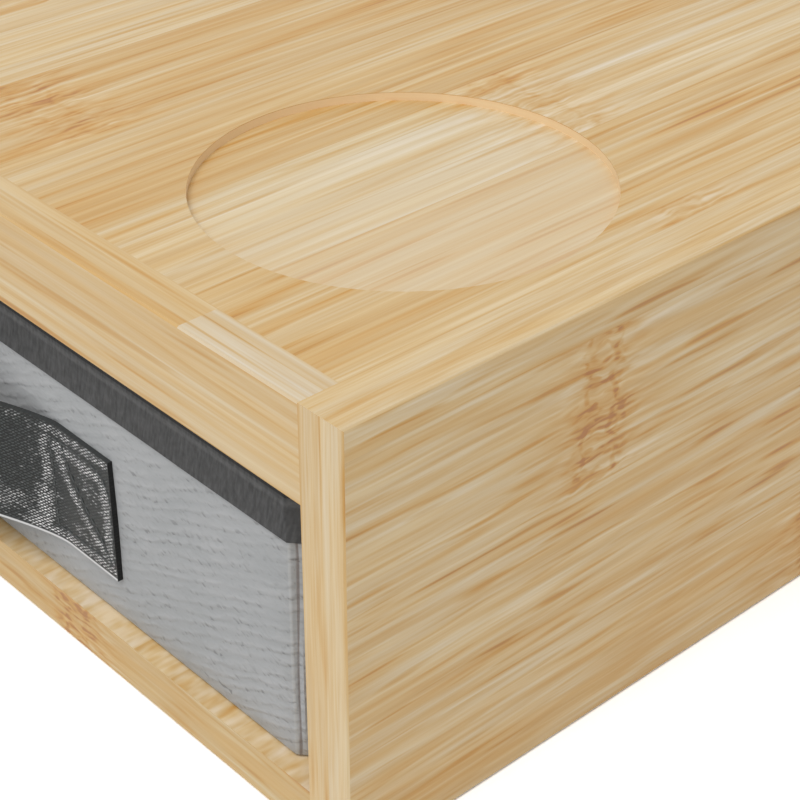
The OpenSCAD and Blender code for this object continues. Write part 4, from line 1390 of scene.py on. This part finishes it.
# %% Moulded nylon and rubber
def moulded(name, code, lighter, rough, grain_mm, relief_mm, sheen=0.0):
    """A moulded black plastic or rubber with an even grain."""
    material, tree = new_material(name)
    in_mm = object_mm(tree)
    grain = add_node(tree, "TexNoise", {"Vector": in_mm, "Scale": 1 / grain_mm, "Detail": 2,
                                        "Roughness": 0.5})
    wear = add_node(tree, "TexNoise", {"Vector": in_mm, "Scale": 0.12, "Detail": 3,
                                       "Roughness": 0.6})
    shade = add_node(tree, "MapRange", [wear, 0.35, 0.7, 0.0, 1.0])
    colour = add_node(tree, "Mix", [shade, linear(code), linear(lighter)], data_type="RGBA")
    gloss = add_node(tree, "MapRange", [wear, 0.3, 0.7, rough + 0.06, rough - 0.06])
    finish_material(tree, colour, gloss, grain, 0.5, relief_mm, {
        "IOR": 1.52, "Sheen Weight": sheen, "Sheen Roughness": 0.5})
    return material

# %% Beech dowels
def beech(name):
    """Beech: short dark pores and soft bands along the grain."""
    material, tree = new_material(name)
    in_mm = object_mm(tree)
    pores = stretched_noise(tree, in_mm, 9, 0.35, 1, 1.0)
    bands = stretched_noise(tree, in_mm, 40, 1.6, 2, 4.0)
    level = add_node(tree, "Math", [pores, 0.5, bands], operation="MULTIPLY_ADD")
    shade = add_node(tree, "MapRange", [level, 0.55, 0.95, 0.0, 1.0])
    colour = add_node(tree, "Mix", [shade, linear("B98C5C"), linear("DDBE94")], data_type="RGBA")
    finish_material(tree, colour, 0.6, pores, 0.3, 0.08, {"IOR": 1.5})
    return material

# %% Dress the hard parts
black_steel = powder_coat("black_powder_coat")
zinc = turned_metal("zinc_plating", "A9ACAE", "C9CBCB", 0.30)
brass = turned_metal("brass_turned", "B08B45", "C9A55C", 0.28)
nylon = moulded("black_nylon_grained", "1D1E1F", "2A2B2C", 0.46, 0.55, 0.05)
rubber = moulded("black_rubber", "161617", "202021", 0.72, 0.35, 0.03, 0.04)
dress("threaded_inserts", brass)
dress("bracket_screws", zinc)
dress("carcass_dowels", beech("beech_dowels"))
for end in ("front", "rear"):
    for part, material in (("bracket", black_steel), ("jaw_liner", rubber),
                           ("pad_rubber", rubber), ("pressure_plate", zinc)):
        dress(f"{end}_{part}", material)

# %% [markdown]
# ## Clamp screws
#
# The CAD screw is a plain rod. The real one has a rolled M10 thread with a pitch of 1.5 mm. A
# thread is one tooth's profile swept along a helix, which is just what the Screw modifier does:
# it turns the profile once per pitch, and the end of one turn meets the start of the next. The
# two raw ends are cut square and capped. The ball and its neck are turned on the front end.

# %% Sections round the X axis
def section_line(name, points):
    """A line through points (x, radius) in mm, to be swept or turned round the X axis."""
    mesh = bpy.data.meshes.new(name)
    mesh.from_pydata([(x * MM, 0, r * MM) for x, r in points],
                     [(i, i + 1) for i in range(len(points) - 1)], [])
    obj = bpy.data.objects.new(name, mesh)
    scene.collection.objects.link(obj)
    return obj

# %% Thread swept along a helix
PITCH, MAJOR, MINOR = 1.5, 4.98, 4.10
THREAD_START, THREAD_END = -297.0, -220.55
# How far under the thread's minor radius the chamfer of its front end starts, in mm
CHAMFER = 0.35
screw = section_line("clamp_thread", [(0.0, MINOR), (0.14, MINOR), (0.62, MAJOR), (0.82, MAJOR),
                                      (1.30, MINOR), (PITCH, MINOR)])
turns = math.ceil((THREAD_END - THREAD_START) / PITCH) + 2
apply_modifier(screw, "SCREW", axis="X", angle=math.tau, screw_offset=PITCH * MM,
               iterations=turns, steps=28, render_steps=28, use_merge_vertices=True,
               merge_threshold=0.01 * MM)
for vertex in screw.data.vertices:
    vertex.co.x += (THREAD_START - PITCH) * MM
take(screw)
bpy.ops.object.mode_set(mode="EDIT")
on_all(bpy.ops.mesh.remove_doubles, threshold=0.01 * MM)
for place, side in ((THREAD_START, -1), (THREAD_END, 1)):
    on_all(bpy.ops.mesh.bisect, plane_co=(place * MM, 0, 0), plane_no=(side, 0, 0),
           use_fill=True, clear_outer=True)
# The cut at the end leaves a hole of one small face
on_all(bpy.ops.mesh.fill_holes, sides=4)
on_all(bpy.ops.mesh.normals_make_consistent, inside=False)
bpy.ops.object.mode_set(mode="OBJECT")
for vertex in screw.data.vertices:
    to_end = THREAD_END - vertex.co.x / MM
    radius = math.hypot(vertex.co.y, vertex.co.z) / MM
    allowed = MINOR - CHAMFER + to_end
    if radius > allowed:
        vertex.co.y *= allowed / radius
        vertex.co.z *= allowed / radius
print("thread with", turns, "turns and", len(screw.data.polygons), "faces")

# %% Ball and neck
def close_up():
    """In edit mode, merges points that meet and turns all faces outwards."""
    on_all(bpy.ops.mesh.remove_doubles, threshold=0.005 * MM)
    on_all(bpy.ops.mesh.normals_make_consistent, inside=False)


def lathe(name, section, steps):
    """Turns a section, a list of (x, radius) in mm, round the X axis. A radius of 0 closes it."""
    obj = section_line(name, section)
    take(obj)
    bpy.ops.object.mode_set(mode="EDIT")
    on_all(bpy.ops.mesh.spin, steps=steps, angle=math.tau, center=(0, 0, 0), axis=(1, 0, 0))
    close_up()
    bpy.ops.object.mode_set(mode="OBJECT")
    return obj


BALL_X, BALL_R, NECK_R, BALL_STEPS = -214.55, 5.0, 2.8, 14
neck_at = math.asin(NECK_R / BALL_R)
ball_section = [(THREAD_END - 0.2, 0), (THREAD_END - 0.2, NECK_R + 0.6),
                (THREAD_END + 0.3, NECK_R)]
for i in range(BALL_STEPS):
    angle = (math.pi - neck_at) * (1 - i / BALL_STEPS)
    ball_section.append((BALL_X + BALL_R * math.cos(angle), BALL_R * math.sin(angle)))
ball_section.append((BALL_X + BALL_R, 0))
ball = lathe("clamp_ball", ball_section, 32)

# %% One of each for both clamps
FRONT_Y, REAR_Y, SCREW_Z = -110.0, 110.0, 49.0


def place_pair(obj, stem, body, material, replaced, smooth=35):
    """Moves a piece built on the X axis to the front clamp, and a copy of it to the rear one."""
    for piece, end, y in ((obj, "front", FRONT_Y), (copy_piece(obj), "rear", REAR_Y)):
        piece.name = f"{end}_{stem}"
        piece.location = Vector((0, y, SCREW_Z)) * MM
        finish_piece(piece, body.format(end), material, smooth)
        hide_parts(replaced.format(end))


place_pair(join([screw, ball], "thread"), "threaded_spindle", "{}_screw", zinc,
           "{}_clamp_screw")

# %% [markdown]
# ## Clamp nuts
#
# A nut is turned first: a bore, a flange, and a body whose outer corner is chamfered at 30
# degrees. Then six flats are milled. Milling through the chamfer gives the curved corners that
# every real nut has. The script does the same: it turns the body and cuts off six sides.

# %% Flanged nut
# Places on the X axis in mm: the collar's end, the flange's two faces and the nut's outer end
COLLAR_IN, NUT_IN, FLANGE_OUT, NUT_OUT = -219.55, -222.55, -224.55, -234.55
# The radii of bore, collar and flange, and the width across the flats, in mm
BORE, COLLAR, FLANGE, FLATS = 5.05, 7.0, 13.0, 17.0
body_r = FLATS / 2 / math.cos(math.pi / 6) + 0.02
nut_body = lathe("nut_body", [
    (FLANGE_OUT, BORE), (NUT_OUT + 0.5, BORE), (NUT_OUT, BORE + 0.55),
    (NUT_OUT, FLATS / 2 - 0.3), (NUT_OUT + 0.8, body_r), (FLANGE_OUT, body_r),
    (FLANGE_OUT, BORE)], 96)
bpy.ops.object.mode_set(mode="EDIT")
for i in range(6):
    angle = math.pi / 6 + i * math.pi / 3
    normal = Vector((0, math.cos(angle), math.sin(angle)))
    on_all(bpy.ops.mesh.bisect, plane_co=normal * FLATS / 2 * MM, plane_no=normal, use_fill=True,
           clear_outer=True)
bpy.ops.object.mode_set(mode="OBJECT")
flange = lathe("nut_flange", [
    (COLLAR_IN, BORE), (FLANGE_OUT, BORE), (FLANGE_OUT, FLANGE - 0.7),
    (FLANGE_OUT + 0.2, FLANGE - 0.2), (FLANGE_OUT + 0.65, FLANGE), (NUT_IN - 0.2, FLANGE),
    (NUT_IN, FLANGE - 0.2), (NUT_IN, COLLAR), (COLLAR_IN - 0.2, COLLAR),
    (COLLAR_IN, COLLAR - 0.2), (COLLAR_IN, BORE)], 72)
place_pair(join([nut_body, flange], "nut"), "flanged_nut", "shelf", zinc,
           "{}_clamp_nut", smooth=30)

# %% [markdown]
# ## Knobs
#
# The knob is moulded round the screw's end: six soft lobes for the fingers, rounded rims, a
# shallow round recess in its face, and a hub. It starts as a circle of 96 points whose radius
# swings in and out six times. The outline is extruded step by step and drawn in at both rims,
# the way a mould-maker lofts it.

# %% Outlines of the knob
# The knob's face, and from there its thickness and the end of its hub, in mm
KNOB_FACE, KNOB_THICK, HUB_END = -306.55, 18.0, 24.0
KNOB_R, WAVE, LOBES, POINTS = 20.0, 2.4, 6, 96
# The radius of both rims, and the steps of their rounding
RIM, RIM_STEPS = 4.0, 6
# Heights over the knob's face and radii, in mm
RECESS = [(1.0, 8.0), (1.0, 11.2), (1.0, 11.6), (0.7, 12.0), (0.1, 12.3), (0.0, 12.8)]
HUB = [(KNOB_THICK, 12.4), (KNOB_THICK + 0.3, 11.2), (KNOB_THICK + 1.0, 10.4),
       (KNOB_THICK + 1.8, 10.0), (HUB_END - 0.6, 9.9), (HUB_END - 0.15, 9.7), (HUB_END, 9.3),
       (HUB_END, 5.6), (HUB_END - 0.5, 5.1), (HUB_END - 4, 5.05)]


def lobed(angle, drawn_in):
    """The knob's radius at an angle, drawn in by some mm."""
    return KNOB_R - drawn_in + WAVE * math.cos(LOBES * angle)


def ring(obj, height, radius_of):
    """Extrudes the selected end face and puts its points at a height and on an outline."""
    bpy.ops.mesh.extrude_region_move(TRANSFORM_OT_translate={"value": (0, 0, 0.1 * MM)})
    mesh = bmesh.from_edit_mesh(obj.data)
    for vertex in (v for v in mesh.verts if v.select):
        angle = math.atan2(vertex.co.y, vertex.co.x)
        radius = radius_of(angle) * MM
        vertex.co = Vector((radius * math.cos(angle), radius * math.sin(angle), height * MM))
    bmesh.update_edit_mesh(obj.data)

# %% Lobed knob
start_fresh()
bpy.ops.mesh.primitive_circle_add(vertices=POINTS, radius=4 * MM, fill_type="NGON")
knob = bpy.context.object
bpy.ops.object.mode_set(mode="EDIT")
bpy.ops.mesh.select_all(action="SELECT")
for height, radius in RECESS:
    ring(knob, height, lambda angle, r=radius: r)
for face, inward, steps in ((0.0, 1, range(RIM_STEPS + 1)),
                            (KNOB_THICK, -1, range(RIM_STEPS, -1, -1))):
    for step in steps:
        turn = math.pi / 2 * step / RIM_STEPS
        ring(knob, face + inward * RIM * (1 - math.cos(turn)),
             lambda angle, d=RIM * (1 - math.sin(turn)): lobed(angle, d))
for height, radius in HUB:
    ring(knob, height, lambda angle, r=radius: r)
close_up()
bpy.ops.object.mode_set(mode="OBJECT")
for vertex in knob.data.vertices:
    x, y, z = vertex.co
    vertex.co = (z + KNOB_FACE * MM, y, -x)
place_pair(knob, "lobed_knob", "{}_screw", nylon, "{}_knob", smooth=40)
